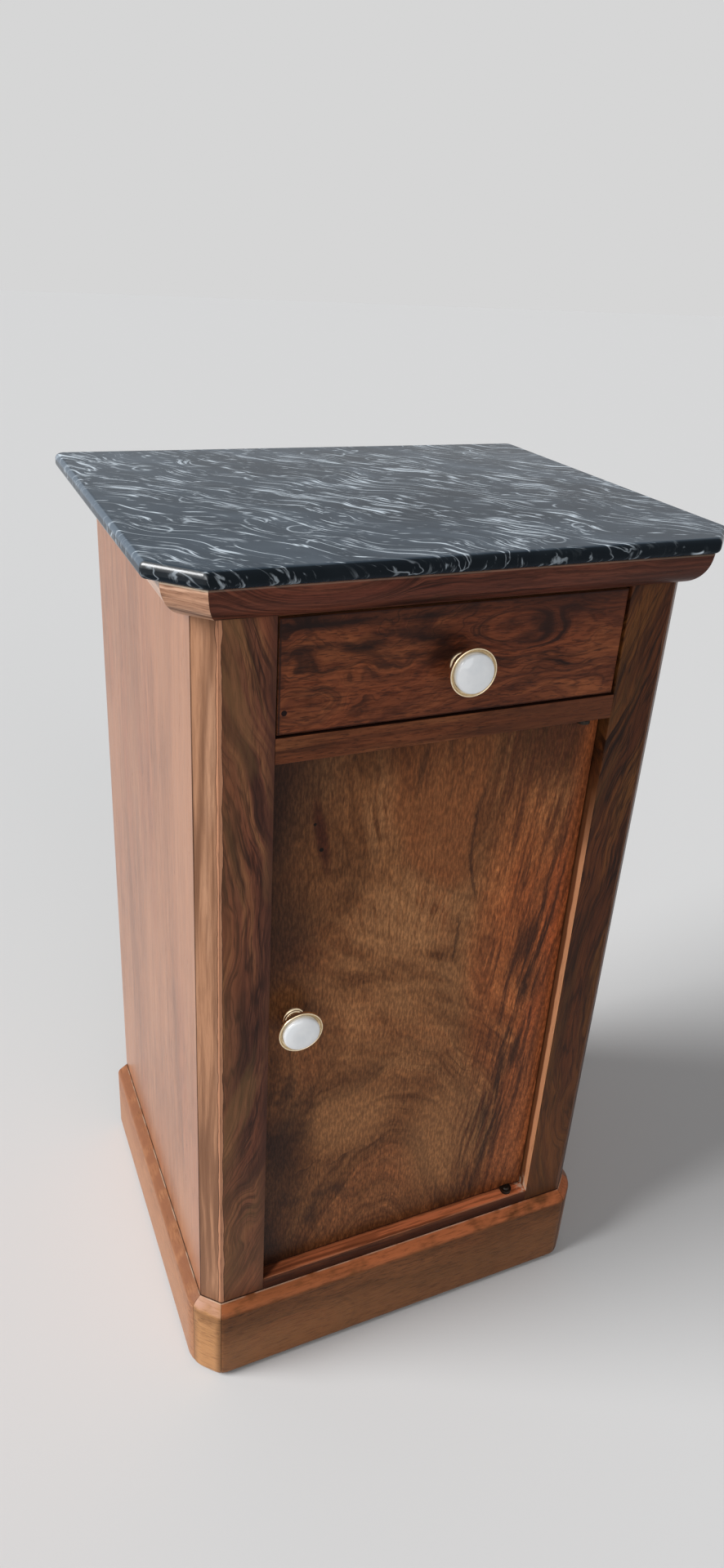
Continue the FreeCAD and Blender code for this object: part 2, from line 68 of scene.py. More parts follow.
class Field:
    """A number that varies over a surface; sums of fields make the nodes that work it out."""

    def __init__(self, tree, socket):
        self.tree = tree
        self.socket = socket

    def made(self, operation, *others):
        node = self.tree.nodes.new("ShaderNodeMath")
        node.operation = operation
        for slot, value in zip(node.inputs, (self, *others)):
            join(self.tree, value, slot)
        return Field(self.tree, node.outputs[0])

    def __add__(self, other):
        return self.made("ADD", other)

    def __sub__(self, other):
        return self.made("SUBTRACT", other)

    def __mul__(self, other):
        return self.made("MULTIPLY", other)

    def __truediv__(self, other):
        return self.made("DIVIDE", other)

    def __neg__(self):
        return self * -1

    def __abs__(self):
        return self.made("ABSOLUTE")

    def squared(self):
        return self * self

    def root(self):
        return self.made("SQRT")

    def most(self, other):
        return self.made("MAXIMUM", other)

    def rise(self, low, high):
        """0 up to low, 1 from high on, and smooth between them."""
        node = self.tree.nodes.new("ShaderNodeMapRange")
        node.interpolation_type = "SMOOTHSTEP"
        for name, value in (("Value", self), ("From Min", low), ("From Max", high)):
            join(self.tree, value, node.inputs[name])
        return Field(self.tree, node.outputs["Result"])

    def fall(self, low, high):
        return -self.rise(low, high) + 1

    def within(self, low, full, fading, high):
        return self.rise(low, full) * self.fall(fading, high)

    def line(self, sharp, soft):
        """A line where the field is 0, full to the sharp half width and gone at the soft one."""
        return abs(self).fall(sharp, soft)


def join(tree, value, slot):
    if isinstance(value, Field):
        tree.links.new(value.socket, slot)
    else:
        slot.default_value = value


class Surface:
    """A material in the making: the place and facing of each point, and its colour so far."""

    def __init__(self, name):
        self.material = bpy.data.materials.new(name)
        self.material.use_nodes = True
        self.tree = self.material.node_tree
        self.shader = self.tree.nodes["Principled BSDF"]
        self.colour = None
        place = self.tree.nodes.new("ShaderNodeTexCoord")
        self.x, self.y, self.z = self.parts(place.outputs["Object"])
        self.facing_x, self.facing_y, self.facing_z = self.parts(place.outputs["Normal"])

    def parts(self, socket):
        node = self.tree.nodes.new("ShaderNodeSeparateXYZ")
        self.tree.links.new(socket, node.inputs[0])
        return [Field(self.tree, output) for output in node.outputs]

    def pattern(self, kind, cells, **settings):
        """A texture node over three fields that are already counted in cells."""
        node = self.tree.nodes.new(kind)
        gather = self.tree.nodes.new("ShaderNodeCombineXYZ")
        for slot, value in zip(gather.inputs, cells):
            join(self.tree, value, slot)
        self.tree.links.new(gather.outputs[0], node.inputs["Vector"])
        for name, value in {"scale": 1.0, **settings}.items():
            node.inputs[name.title()].default_value = value
        return Field(self.tree, node.outputs[0])

    def cloud(self, *cells, detail=2, roughness=0.5):
        """Soft noise, 0 to 1, with as many lumps to a metre as the fields are multiplied by."""
        return self.pattern("ShaderNodeTexNoise", cells, detail=detail, roughness=roughness)

    def lumps(self, per_metre, **settings):
        """A cloud that is alike in all directions."""
        return self.cloud(self.x * per_metre, self.y * per_metre, self.z * per_metre, **settings)

    def spot(self, middle, reach, across=None):
        """1 in the middle of an oval patch seen from the front, fading to 0 at its reach."""
        side = ((across or self.x) - middle[0]) / reach[0]
        end = (self.z - middle[1]) / reach[1]
        return (side.squared() + end.squared()).fall(0.0, 1.0)

    def from_upright(self, x, y):
        """How far a point lies from an upright line."""
        return ((self.x - x).squared() + (self.y - y).squared()).root()

    def ramp(self, share, *stops):
        node = self.tree.nodes.new("ShaderNodeValToRGB")
        points = node.color_ramp.elements
        while len(points) < len(stops):
            points.new(1.0)
        for point, (position, colour) in zip(points, stops):
            point.position = position
            point.color = (*colour, 1.0)
        self.tree.links.new(share.socket, node.inputs[0])
        self.colour = node.outputs["Color"]

    def tint(self, share, colour, how="MIX"):
        node = self.tree.nodes.new("ShaderNodeMix")
        node.data_type = "RGBA"
        node.blend_type = how
        join(self.tree, share, node.inputs[0])
        self.tree.links.new(self.colour, node.inputs[6])
        node.inputs[7].default_value = (*colour, 1.0)
        self.colour = node.outputs[2]

    def stain(self, share, colour):
        """Darkens what is there as a stain does, or lifts it where the colour is over 1."""
        self.tint(share, colour, "MULTIPLY")

    def relief(self, height, depth):
        node = self.tree.nodes.new("ShaderNodeBump")
        node.inputs["Strength"].default_value = 1.0
        node.inputs["Distance"].default_value = depth
        join(self.tree, height, node.inputs["Height"])
        self.tree.links.new(node.outputs[0], self.shader.inputs["Normal"])

    def finish(self, **settings):
        """Sets the shader's own sockets; a name such as coat_weight is the socket Coat Weight."""
        self.tree.links.new(self.colour, self.shader.inputs["Base Color"])
        for name, value in settings.items():
            words = name.replace("_", " ").title().replace("Ior", "IOR")
            join(self.tree, value, self.shader.inputs[words])


def veneer(surface, rings, along, across, through, tones, spread=0.12, seams=0.5, edges=0.4, lines=0.15,
           fibre=0.3):
    """Walnut: bands and dark edges that follow the growth rings, black smears and lines in patches,
    and fibres and pores. The fibres are given back, to roughen what comes after."""
    black, deep, middle, pale, red = tones
    depth = through * 20
    broad = surface.cloud(rings * 0.4, along * 6, depth)
    stripes = surface.cloud(rings * 1.5, along * 10, depth, detail=4, roughness=0.6)
    surface.ramp((broad + stripes) * 0.5, (0.5 - spread, deep), (0.5, middle), (0.5 + spread, pale))
    flush = surface.cloud(rings * 0.3 + 60, along * 6, depth).rise(0.46, 0.64)
    surface.tint(flush * 0.6, red)
    patches = surface.cloud(across * 13, depth, along * 7).rise(0.36, 0.58)
    growth = surface.cloud(rings * 3.2 + 23, along * 9, depth, detail=3, roughness=0.6).fall(0.34, 0.54)
    surface.tint(growth * edges, deep)
    smears = surface.cloud(rings * 0.9 + 17, along * 7, depth, detail=4, roughness=0.65).rise(0.5, 0.68)
    surface.tint(smears * patches * seams, black)
    veins = surface.cloud(rings * 1.2 + 41, along * 14, depth) - 0.5
    surface.tint(veins.line(0.0, 0.032) * patches * lines, black)
    grain = surface.cloud(across * 210, depth, along * 16, detail=3, roughness=0.6).fall(0.36, 0.52)
    surface.tint(grain * fibre * 0.55, deep)
    fibres = surface.cloud(across * 520, through * 520, along * 70, detail=3, roughness=0.65)
    surface.stain(fibres.fall(0.34, 0.56) * fibre, fibre_shadow)
    pores = surface.cloud(across * 900, through * 900, along * 120, detail=1).rise(0.58, 0.68)
    surface.tint(pores * fibre, black)
    surface.relief(fibres * 0.5 - pores, 0.00006)
    return fibres


def french_polish(surface, fibres, **gloss):
    """A thin old polish, duller over the fibres; gloss gives a piece a shine of its own."""
    thin = {"roughness": fibres * 0.15 + 0.3, "specular_ior_level": 0.1, "coat_weight": 0.0}
    surface.finish(**{**thin, **gloss})


def dress(node, surface):
    """Gives a CAD node the surface as its only material."""
    slots = frame["nodes"][node].data.materials
    slots.clear()
    slots.append(surface.material)


post_low, post_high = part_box("front_stile_left")
front_y = post_low.y
half_width = -post_low.x
post_width = post_high.x - post_low.x
cant = 0.015
plinth_low, plinth_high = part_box("plinth_left")
fibre_shadow = (0.28, 0.2, 0.16)
joint_shadow = (0.02, 0.008, 0.006)
worn_white = (0.7, 0.56, 0.42)
rubbed_wood = (0.46, 0.215, 0.12)
bare_and_lit_edge = (0.78, 0.375, 0.19)
bare_inside_and_gap_shade = (0.22, 0.08, 0.034)
# Per hand: the left cant tones are pale, as painted light, and the right cant tones are dark with a fainter
# rub, as painted shade.
post_looks = {
    "left": {"tones": ((0.015, 0.008, 0.007), (0.06, 0.022, 0.015), (0.172, 0.062, 0.034),
                       (0.275, 0.122, 0.052), (0.205, 0.063, 0.033)),
             "cant_light_and_shade_tones": ((0.185, 0.087, 0.048), (0.44, 0.224, 0.126), (0.54, 0.304, 0.188)),
             "flush": (0.242, 0.073, 0.035), "olive": (0.21, 0.115, 0.046), "outer_light_and_shade_tone": 3,
             "inner_shade": 0.75, "rubbed": 1.0, "outward": -1, "bow": 0.8, "bow_height": 0.46, "seed": 0.0},
    "right": {"tones": ((0.009, 0.004, 0.003), (0.034, 0.012, 0.006), (0.088, 0.028, 0.009),
                        (0.165, 0.061, 0.016), (0.112, 0.03, 0.01)),
              "cant_light_and_shade_tones": ((0.034, 0.012, 0.006), (0.088, 0.028, 0.009), (0.12, 0.042, 0.014)),
              "flush": (0.125, 0.034, 0.012), "olive": (0.095, 0.042, 0.014), "outer_light_and_shade_tone": 1,
              "inner_shade": 0.0, "rubbed": 0.2, "outward": 1, "bow": -0.5, "bow_height": 0.34, "seed": 8.0},
}

for hand, looks in post_looks.items():
    post = Surface("post_walnut_" + hand)
    x, y, z = post.x, post.y, post.z
    outward, seed, tones = looks["outward"], looks["seed"], looks["tones"]
    black, deep, pale = tones[0], tones[1], tones[3]
    cant_deep, cant_gold, cant_pale = looks["cant_light_and_shade_tones"]
    from_middle = x * outward
    drift = post.cloud(x * 14 + seed, y * 14, z * 8 + seed, detail=3)
    bent = x + (z - looks["bow_height"]).squared() * looks["bow"]
    eye = post.spot((0.167, 0.197), (0.022, 0.05), from_middle)
    rings = bent * 110 + drift * 4 + eye * 1.3 + seed
    fibres = veneer(post, rings, z * 0.6, x, y, tones, spread=0.11, seams=0.95, edges=0.5, lines=0.75,
                    fibre=0.4)
    reddened = post.cloud(bent * 36 + 11, y * 9, z * 7 + seed, detail=3)
    post.tint(reddened.rise(0.52, 0.66) * 0.35, looks["flush"])
    post.tint(reddened.fall(0.34, 0.46) * 0.35, looks["olive"])
    bold = post.cloud(rings * 0.8 + 7, y * 9, z * 7 + seed, detail=3, roughness=0.6) - 0.5
    post.tint(bold.line(0.004, 0.04) * reddened.rise(0.38, 0.5) * 0.6, black)
    # Painted light makes the left post paler towards its outer edge; painted shade makes the right post
    # darker there, and the left post darker along its inner edge.
    post.tint(from_middle.rise(0.152, 0.176) * 0.22, tones[looks["outer_light_and_shade_tone"]])
    post.tint(from_middle.fall(0.14, 0.15) * looks["inner_shade"], deep)
    ragged_height = z + drift * 0.1
    low_dirt = (z + drift * 0.02).fall(0.095, 0.13)
    post.tint(ragged_height.fall(0.18, 0.34) * 0.25, pale)
    post.tint(low_dirt * 0.45, deep)
    cant_face = (post.facing_x * outward - post.facing_y).rise(1.25, 1.39)
    wander = post.cloud(x * 30, seed, z * 6) * 2
    stripe = post.cloud(x * 200 + wander, z * 6, seed, detail=3)
    gleam = post.cloud(x * 90, z * 5 + seed, seed)
    post.tint(cant_face, cant_deep)
    post.tint(cant_face * stripe.rise(0.36, 0.6) * 0.85, cant_gold)
    post.tint(cant_face * gleam.rise(0.52, 0.7) * 0.4, cant_pale)
    post.tint(cant_face * ragged_height.fall(0.24, 0.42) * stripe.fall(0.46, 0.66) * 0.8, cant_deep)
    post.tint(cant_face * fibres.fall(0.3, 0.6) * 0.35, cant_deep)
    post.tint(cant_face * low_dirt * 0.6, cant_deep)
    from_arris = post.from_upright(outward * (half_width - cant), front_y)
    waver = post.cloud(seed, z * 34, z * 3, detail=3)
    past_rub = from_arris - (waver * 0.0042 + z.fall(0.0, 0.25) * 0.001)
    post.tint(past_rub.fall(0.0001, 0.0005) * 0.8, joint_shadow)
    post.tint(past_rub.fall(-0.0004, 0.0) * fibres.rise(0.1, 0.5) * looks["rubbed"], rubbed_wood)
    post.tint(cant_face * from_arris.fall(0.0003, 0.0007) * 0.7, joint_shadow)
    from_side = post.from_upright(outward * half_width, front_y + cant)
    post.tint((from_side - waver * 0.0012).fall(0.0, 0.0005) * 0.7, joint_shadow)
    # The reveal's pale bare edge is partly painted light. Above it the reveal stays dark, a painted shade
    # under the drawer rail, and the darker strip beside the door is a painted shade in the gap.
    reveal = (post.facing_x * -outward).rise(0.8, 0.95)
    worn_and_lit_height = z + drift * 0.2
    post.tint(reveal * worn_and_lit_height.fall(0.58, 0.74) * 0.8, bare_inside_and_gap_shade)
    bare = (y + waver * 0.003 - front_y).fall(0.0072, 0.009) * worn_and_lit_height.fall(0.57, 0.68)
    post.tint(reveal * bare * fibres.rise(0.1, 0.45), bare_and_lit_edge)
    chips = post.cloud(y * 260, seed, z * 110, detail=3).rise(0.46, 0.54)
    post.tint(reveal * chips * z.fall(0.104, 0.122) * 0.8, worn_white)
    post.tint((z + waver * 0.001 - plinth_high.z).fall(0.001, 0.0022) * 0.85, joint_shadow)
    french_polish(post, fibres)
    dress("front_stile_" + hand, post)


# Sides. Each is one board faced with straight-grained walnut that stands upright, glued behind
# the lip of its front post and rebated at the back. Its thick polish mirrors the floor and room.

side_tones = ((0.15, 0.056, 0.03), (0.265, 0.107, 0.05), (0.36, 0.151, 0.073), (0.425, 0.192, 0.099),
              (0.38, 0.143, 0.069))

for hand in ("left", "right"):
    side = Surface("side_walnut_" + hand)
    drift = side.cloud(side.x, side.y * 9, side.z * 2)
    rings = side.y * 80 + drift * 3
    fibres = veneer(side, rings, side.z * 0.4, side.y, side.x, side_tones, spread=0.1, seams=0.35,
                    fibre=0.42)
    # Random paler and darker patches: the veneer's own tone, with a painted sheen on the polish.
    tone_and_sheen = side.cloud(side.y * 9, 3.0, side.z * 4)
    side.tint(tone_and_sheen.rise(0.46, 0.7) * 0.5, side_tones[3])
    side.tint(tone_and_sheen.fall(0.3, 0.46) * 0.5, side_tones[1])
    # Painted reflection: paler near the front at the top.
    side.tint(side.y.fall(-0.12, -0.05) * side.z.rise(0.33, 0.45) * 0.5, side_tones[3])
    outer_face = abs(side.facing_x).rise(0.8, 0.95)
    side.tint((side.z - plinth_high.z).fall(0.002, 0.004) * outer_face * 0.9, joint_shadow)
    side.finish(roughness=fibres * 0.12 + 0.24, specular_ior_level=0.34, coat_weight=0.08,
                coat_roughness=0.1)
    dress("side_panel_" + hand, side)


# Rails. Solid walnut rails are tenoned between the posts under the marble, under the drawer and
# under the door. The grain runs across, and the lowest one's upper face has kept less of the stain
# and is painted lighter, as painted light. Painted shade darkens the rails towards the right and the
# lowest one's front just above the plinth.

rail_tones = ((0.014, 0.006, 0.004), (0.07, 0.022, 0.01), (0.145, 0.046, 0.018), (0.195, 0.067, 0.026),
              (0.165, 0.046, 0.018))
worn_and_lit_rail_top = (0.79, 0.232, 0.095)
over_low_rail = (0.12, 0.13)

rail = Surface("rail_walnut")
x, y, z = rail.x, rail.y, rail.z
drift = rail.cloud(x * 4, y * 10, z * 10)
rings = z * 150 + drift * 2
fibres = veneer(rail, rings, x, z, y, rail_tones, seams=0.6, edges=0.6, fibre=0.5)
# Painted shade: darker towards the right.
rail.tint(x.rise(-0.01, 0.08) * 0.55, rail_tones[1])
upper_face = rail.facing_z.rise(0.7, 0.95)
low_top = upper_face * z.fall(*over_low_rail)
# The lowest rail's top is pale where its stain is worn, and painted lighter as painted light.
rail.tint(low_top * fibres.rise(0.1, 0.4), worn_and_lit_rail_top)
rail.tint(upper_face * z.rise(*over_low_rail), joint_shadow)
# Painted shade on the lowest rail's front, just above the plinth.
rail.stain(z.fall(0.098, 0.1025) * 0.82, (0.5, 0.4, 0.34))
rail.tint((z - plinth_high.z).fall(0.001, 0.007) * 0.6, joint_shadow)
dark_streak = (y + 0.15 + drift * 0.01 + x * 0.02).line(0.0005, 0.003)
rail.tint(upper_face * dark_streak * 0.6, rail_tones[0])
scuffs = rail.cloud(x * 16, y * 320, 0.0, detail=4, roughness=0.6)
rail.tint(low_top * scuffs.fall(0.4, 0.56) * 0.55, rail_tones[2])
rail.tint(low_top * (y - front_y).fall(0.0008, 0.0022) * scuffs.rise(0.36, 0.54) * 0.7, rubbed_wood)
in_corner = x + half_width - post_width - (y - front_y) * 1.6
rail.tint(low_top * in_corner.fall(-0.003, 0.005) * 0.85, joint_shadow)
chips = rail.cloud(x * 180, y * 260, 0.0, detail=3).rise(0.46, 0.54)
rail.tint(low_top * chips * x.rise(0.13, 0.138) * 0.8, worn_white)
french_polish(rail, fibres)
for node in ("drawer_rail", "bottom_rail", "top_rail_front"):
    dress(node, rail)


# Inside and back. Plain boards of paler wood, planed and never polished: the floor and its cleats,
# the shelf, the drawer's runners and box, the back rails, and three upright boards nailed on behind.

planed_tones = ((0.17, 0.085, 0.04), (0.3, 0.165, 0.078), (0.4, 0.235, 0.115), (0.48, 0.305, 0.16),
                (0.4, 0.215, 0.1))
planed_wood = {}

for axis in "xyz":
    planed = Surface("planed_wood_" + axis)
    fields = {"x": planed.x, "y": planed.y, "z": planed.z}
    along = fields.pop(axis)
    across, through = fields.values()
    drift = planed.cloud(across * 8, through * 8, along * 2)
    rings = (across + through) * 75 + drift * 3
    fibres = veneer(planed, rings, along, across, through, planed_tones, seams=0.3)
    planed.finish(roughness=fibres * 0.2 + 0.55, specular_ior_level=0.25)
    planed_wood[axis] = planed

slot_of = {part["node"]: part["material_slot"] for part in frame["record"]["subparts"]}
for node, slot in slot_of.items():
    if slot == "inner_wood" and node != "top_rail_front":
        low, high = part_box(node)
        size = high - low
        dress(node, planed_wood[max("xyz", key=lambda axis: getattr(size, axis))])


# Nails. Eighteen forged iron nails with low round heads hold the back boards, two to a board at
# the bottom rail, the shelf and the top rail. No two heads are turned or hammered quite alike.

class Rule:
    """A Geometry Nodes tree in the making, with named inputs for its sizes."""

    def __init__(self, name, **inputs):
        self.tree = bpy.data.node_groups.new(name, "GeometryNodeTree")
        face = self.tree.interface
        face.new_socket("Geometry", in_out="INPUT", socket_type="NodeSocketGeometry")
        self.ids = {}
        for key, kind in {**inputs, "finish": "Material"}.items():
            socket = face.new_socket(self.title(key), in_out="INPUT", socket_type="NodeSocket" + kind)
            self.ids[key] = socket.identifier
        face.new_socket("Geometry", in_out="OUTPUT", socket_type="NodeSocketGeometry")
        self.entry = self.tree.nodes.new("NodeGroupInput")
        self.exit = self.tree.nodes.new("NodeGroupOutput")
        self.base = Field(self.tree, self.entry.outputs[0])

    def title(self, key):
        return key.replace("_", " ").title()

    def size(self, key):
        return Field(self.tree, self.entry.outputs[self.title(key)])

    def sizes(self):
        return [self.size(key) for key in self.ids if key != "finish"]

    def outputs(self, kind, settings=None, **inputs):
        """A node's outputs, with its inputs joined by name, or by number as at_N where names repeat."""
        family = "" if kind.startswith(("Shader", "Function")) else "GeometryNode"
        node = self.tree.nodes.new(family + kind)
        for name, value in (settings or {}).items():
            setattr(node, name, value)
        for key, value in inputs.items():
            slot = node.inputs[int(key[3:]) if key.startswith("at_") else self.title(key)]
            for part in value if isinstance(value, list) else [value]:
                join(self.tree, part, slot)
        return [Field(self.tree, output) for output in node.outputs]

    def node(self, kind, settings=None, **inputs):
        return self.outputs(kind, settings, **inputs)[0]

    def point(self, x, y, z):
        return self.node("ShaderNodeCombineXYZ", x=x, y=y, z=z)

    def named(self, attribute):
        return self.node("InputNamedAttribute", {"data_type": "FLOAT"}, name=attribute)

    def chance(self, low, high, seed):
        """A number picked afresh for each instance."""
        kind = {"data_type": "FLOAT"}
        return self.outputs("FunctionNodeRandomValue", kind, at_2=low, at_3=high, seed=seed)[1]

    def drawn(self, corner_steps):
        """The mesh's line as a curve, each corner rounded by the rounding at its point."""
        outline = self.node("MeshToCurve", mesh=self.base)
        return self.node("FilletCurve", {"mode": "POLY"}, curve=outline, count=corner_steps,
                         radius=self.named("rounding"), limit_radius=True)

    def swept(self, outline, steps):
        """An outline drawn out into a bar of unit length: x is outward, y is height, z is the share
        of its run."""
        path = self.node("CurvePrimitiveLine", start=(0.0, 0.0, 0.0), end=(0.0, 0.0, 1.0))
        path = self.node("ResampleCurve", curve=path, count=steps + 1)
        bar = self.node("CurveToMesh", curve=path, profile_curve=outline, fill_caps=True)
        return bar, *self.outputs("ShaderNodeSeparateXYZ", at_0=self.node("InputPosition"))

    def turned(self, outline, steps):
        """An outline of radius and height, turned about the Z axis as on a lathe."""
        bar, radius, height, share = self.swept(outline, steps)
        angle = share * math.tau
        round_place = self.point(radius * angle.made("COSINE"), radius * angle.made("SINE"), height)
        return self.node("SetPosition", geometry=bar, position=round_place)

    def end(self, geometry):
        whole = self.node("RealizeInstances", geometry=geometry)
        coated = self.node("SetMaterial", geometry=whole, material=self.size("finish"))
        self.tree.links.new(coated.socket, self.exit.inputs[0])

    def piece(self, name, mesh, sizes, body, slot, replaced):
        """Runs the tree on a mesh, keeps the result as a plain mesh, and puts it in the node's place."""
        thing = bpy.data.objects.new(name, mesh)
        bpy.context.scene.collection.objects.link(thing)
        modifier = thing.modifiers.new(name, "NODES")
        modifier.node_group = self.tree
        for key, value in sizes.items():
            modifier[self.ids[key]] = value
        graph = bpy.context.evaluated_depsgraph_get()
        plain = bpy.data.meshes.new_from_object(thing.evaluated_get(graph))
        thing.modifiers.clear()
        thing.data = plain
        work = bmesh.new()
        work.from_mesh(plain)
        bmesh.ops.remove_doubles(work, verts=work.verts, dist=1e-6)
        bmesh.ops.dissolve_degenerate(work, edges=work.edges, dist=1e-7)
        bmesh.ops.recalc_face_normals(work, faces=work.faces)
        work.to_mesh(plain)
        work.free()
        plain.shade_smooth()
        plain.set_sharp_from_angle(angle=math.radians(32))
        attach(thing, body)
        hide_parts(replaced)


def line_mesh(name, points, edges=(), **values):
    """Bare points, joined by edges where they make a line, with a named value at each point."""
    mesh = bpy.data.meshes.new(name)
    mesh.from_pydata(points, edges, [])
    for key, numbers in values.items():
        layer = mesh.attributes.new(key, "FLOAT", "POINT")
        layer.data.foreach_set("value", numbers)
    return mesh


iron = Surface("black_iron")
scale = iron.lumps(900, detail=4, roughness=0.65)
iron.ramp(scale, (0.3, (0.01, 0.007, 0.005)), (0.6, (0.026, 0.018, 0.013)), (0.8, (0.07, 0.04, 0.022)))
iron.relief(scale, 0.0002)
iron.finish(roughness=scale * 0.3 + 0.3, metallic=0.7)
for node, slot in slot_of.items():
    if slot == "iron" and node != "back_nails":
        dress(node, iron)

nails = Rule("nails", head_radius="Float", head_rise="Float", shank_radius="Float", shank_length="Float")
head_radius, head_rise, shank_radius, shank_length = nails.sizes()
dome = nails.node("CurveQuadraticBezier", resolution=6, start=nails.point(head_radius, 0.0, 0.0),
                  middle=nails.point(head_radius, head_rise, 0.0), end=nails.point(0.0, head_rise, 0.0))
shank = nails.node("CurvePrimitiveLine", start=nails.point(shank_radius, 0.0, 0.0),
                   end=nails.point(0.0, -shank_length, 0.0))
nail = nails.node("JoinGeometry", geometry=[nails.turned(dome, steps=16), nails.turned(shank, steps=8)])
facing_back = (-math.pi / 2, 0.0, 0.0)
hammered = nails.point(nails.chance(0.84, 1.0, 3), nails.chance(0.84, 1.0, 5), nails.chance(0.8, 1.0, 7))
driven = nails.node("InstanceOnPoints", points=nails.base, instance=nail, rotation=facing_back,
                    scale=hammered)
spin = nails.point(0.0, 0.0, nails.chance(0.0, math.tau, 11))
nails.end(nails.node("RotateInstances", instances=driven, rotation=spin))

nail_low, nail_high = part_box("back_nails")
back_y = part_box("back_board_left")[1].y
nail_sizes = {"head_radius": 0.0026, "head_rise": nail_high.y - back_y, "shank_radius": 0.0012,
              "shank_length": back_y - nail_low.y, "finish": iron.material}
low_nail_row = 0.0553
nail_shares = (0.18, 0.82)
nail_rows = [low_nail_row]
for node in ("drawer_shelf", "top_rail_back"):
    low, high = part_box(node)
    nail_rows.append((low.z + high.z) / 2)
nail_points = []
for place in ("left", "middle", "right"):
    low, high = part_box("back_board_" + place)
    for share in nail_shares:
        nail_points += [(low.x + (high.x - low.x) * share, back_y, height) for height in nail_rows]
nail_mesh = line_mesh("nail_points", nail_points)
nails.piece("back_nail_heads", nail_mesh, nail_sizes, "carcass", "iron", "back_nails")


# Plinth. Five mitred walnut boards wrap the foot of the cupboard, glued to the posts and sides, and
# their corners are rounded over. The sloped upper edge is worn through its stain to orange and painted
# lighter where it faces up, as painted light, and the boards are painted lighter low down and towards
# the left, also painted light. The left corner's pale tones are painted light, and the right corner
# takes the dark front tones as painted shade. The mitres have opened a hair, and the canted corners
# are darker beside them and under the slope.

moulding = Rule("mitred_moulding", inner_start="Vector", inner_end="Vector", outer_start="Vector",
                outer_end="Vector", projection="Float", joint="Float", start_radius="Float",
                end_radius="Float")
(inner_start, inner_end, outer_start, outer_end, projection, joint, start_radius,
 end_radius) = moulding.sizes()
bar, out, height, run = moulding.swept(moulding.drawn(corner_steps=5), steps=48)
run = -(run * math.pi).made("COSINE") * 0.5 + 0.5


def between(first, second, share):
    kind = {"data_type": "VECTOR"}
    return moulding.outputs("ShaderNodeMix", kind, at_0=share, at_4=first, at_5=second)[1]


def distance(first, second):
    kind = {"operation": "DISTANCE"}
    return moulding.outputs("ShaderNodeVectorMath", kind, at_0=first, at_1=second)[1]


def stand_back(from_end, radius):
    """How far the rounded corner at a mitre stands back from the sharp one."""
    beyond = (radius * math.tan(math.pi / 8) - from_end).most(0.0)
    return radius - (radius.squared() - beyond.squared()).root()


outer_span = distance(outer_start, outer_end)
inset = stand_back(run * outer_span, start_radius) + stand_back((-run + 1) * outer_span, end_radius)
outness = out / projection * (-(inset / projection) + 1)
start = between(inner_start, outer_start, outness)
end = between(inner_end, outer_end, outness)
gap = joint / distance(inner_start, inner_end)
on_plan = between(start, end, run * (-(gap * 2) + 1) + gap)
lifted = moulding.node("ShaderNodeVectorMath", {"operation": "ADD"}, at_0=on_plan,
                       at_1=moulding.point(0.0, 0.0, height))
moulding.end(moulding.node("SetPosition", geometry=bar, position=lifted))


def plan_corners(side_x, front, side_y, corner_x, back):
    """Corners from the back of the left side, round the front, to the back of the right side."""
    left = [(-side_x, back, 0.0), (-side_x, side_y, 0.0), (-corner_x, front, 0.0)]
    return left + [(-x, y, z) for x, y, z in reversed(left)]


def length_walnut(name, along, tones, rings_per_metre, seams, edges, fibre):
    """Walnut whose grain runs along a straight length or, for a canted corner, across it."""
    surface = Surface(name)
    x, y, z = surface.x, surface.y, surface.z
    run, across = {"x": (x, y), "y": (y, x)}.get(along) or ((x - y) * diagonal, (x + y) * diagonal)
    drift = surface.cloud(run * 9, across * 14, z * 16, detail=3)
    nest = surface.spot((-0.118, 0.77), (0.075, 0.034)) * 6
    swirl = surface.spot((-0.11, 0.022), (0.08, 0.045)) * 7
    rings = (z - across) * rings_per_metre + drift * 4.5 + nest + swirl
    return surface, veneer(surface, rings, run, z, across, tones, seams=seams, edges=edges, fibre=fibre)


def fit_length(index, group, piece, profile, rounding, plan, gap, radii, wood):
    """Runs a profile along one side of the plan, mitred to its neighbours, in place of a CAD length."""
    place = lengths[index][0]
    edges = [(first, (first + 1) % len(profile)) for first in range(len(profile))]
    outline = line_mesh(group + "_profile", profile, edges, rounding=rounding)
    sizes = {"inner_start": inner_plan[index], "inner_end": inner_plan[index + 1],
             "outer_start": plan[index], "outer_end": plan[index + 1],
             "projection": max(out for out, height, depth in profile), "joint": gap,
             "start_radius": radii[index], "end_radius": radii[index + 1], "finish": wood.material}
    moulding.piece(f"{group}_{piece}_{place}", outline, sizes, "carcass", group + "_walnut",
                   f"{group}_{place}")


diagonal = 0.707
# Each length: its place, the way its grain runs, and its tones; the right corner takes the dark front tones
# as a painted shade.
lengths = (("left", "y", "y"), ("corner_left", "corner", "corner"), ("front", "x", "x"),
           ("corner_right", "corner", "x"), ("right", "y", "y"))
plinth_front_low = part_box("plinth_front")[0]
plinth_out = -half_width - plinth_low.x
plinth_top = plinth_high.z
slope_drop = 0.0071
plinth_gap = 0.00015
inner_plan = plan_corners(half_width, front_y, front_y + cant, half_width - cant, plinth_high.y)
plinth_plan = plan_corners(-plinth_low.x, plinth_front_low.y, plinth_low.y, -plinth_front_low.x,
                           plinth_high.y)
plinth_profile = [(0.0, 0.0, 0.0), (plinth_out, 0.0, 0.0), (plinth_out, plinth_top - slope_drop, 0.0),
                  (0.0, plinth_top, 0.0)]
plinth_rounding = [0.0, 0.008, 0.007, 0.0004]
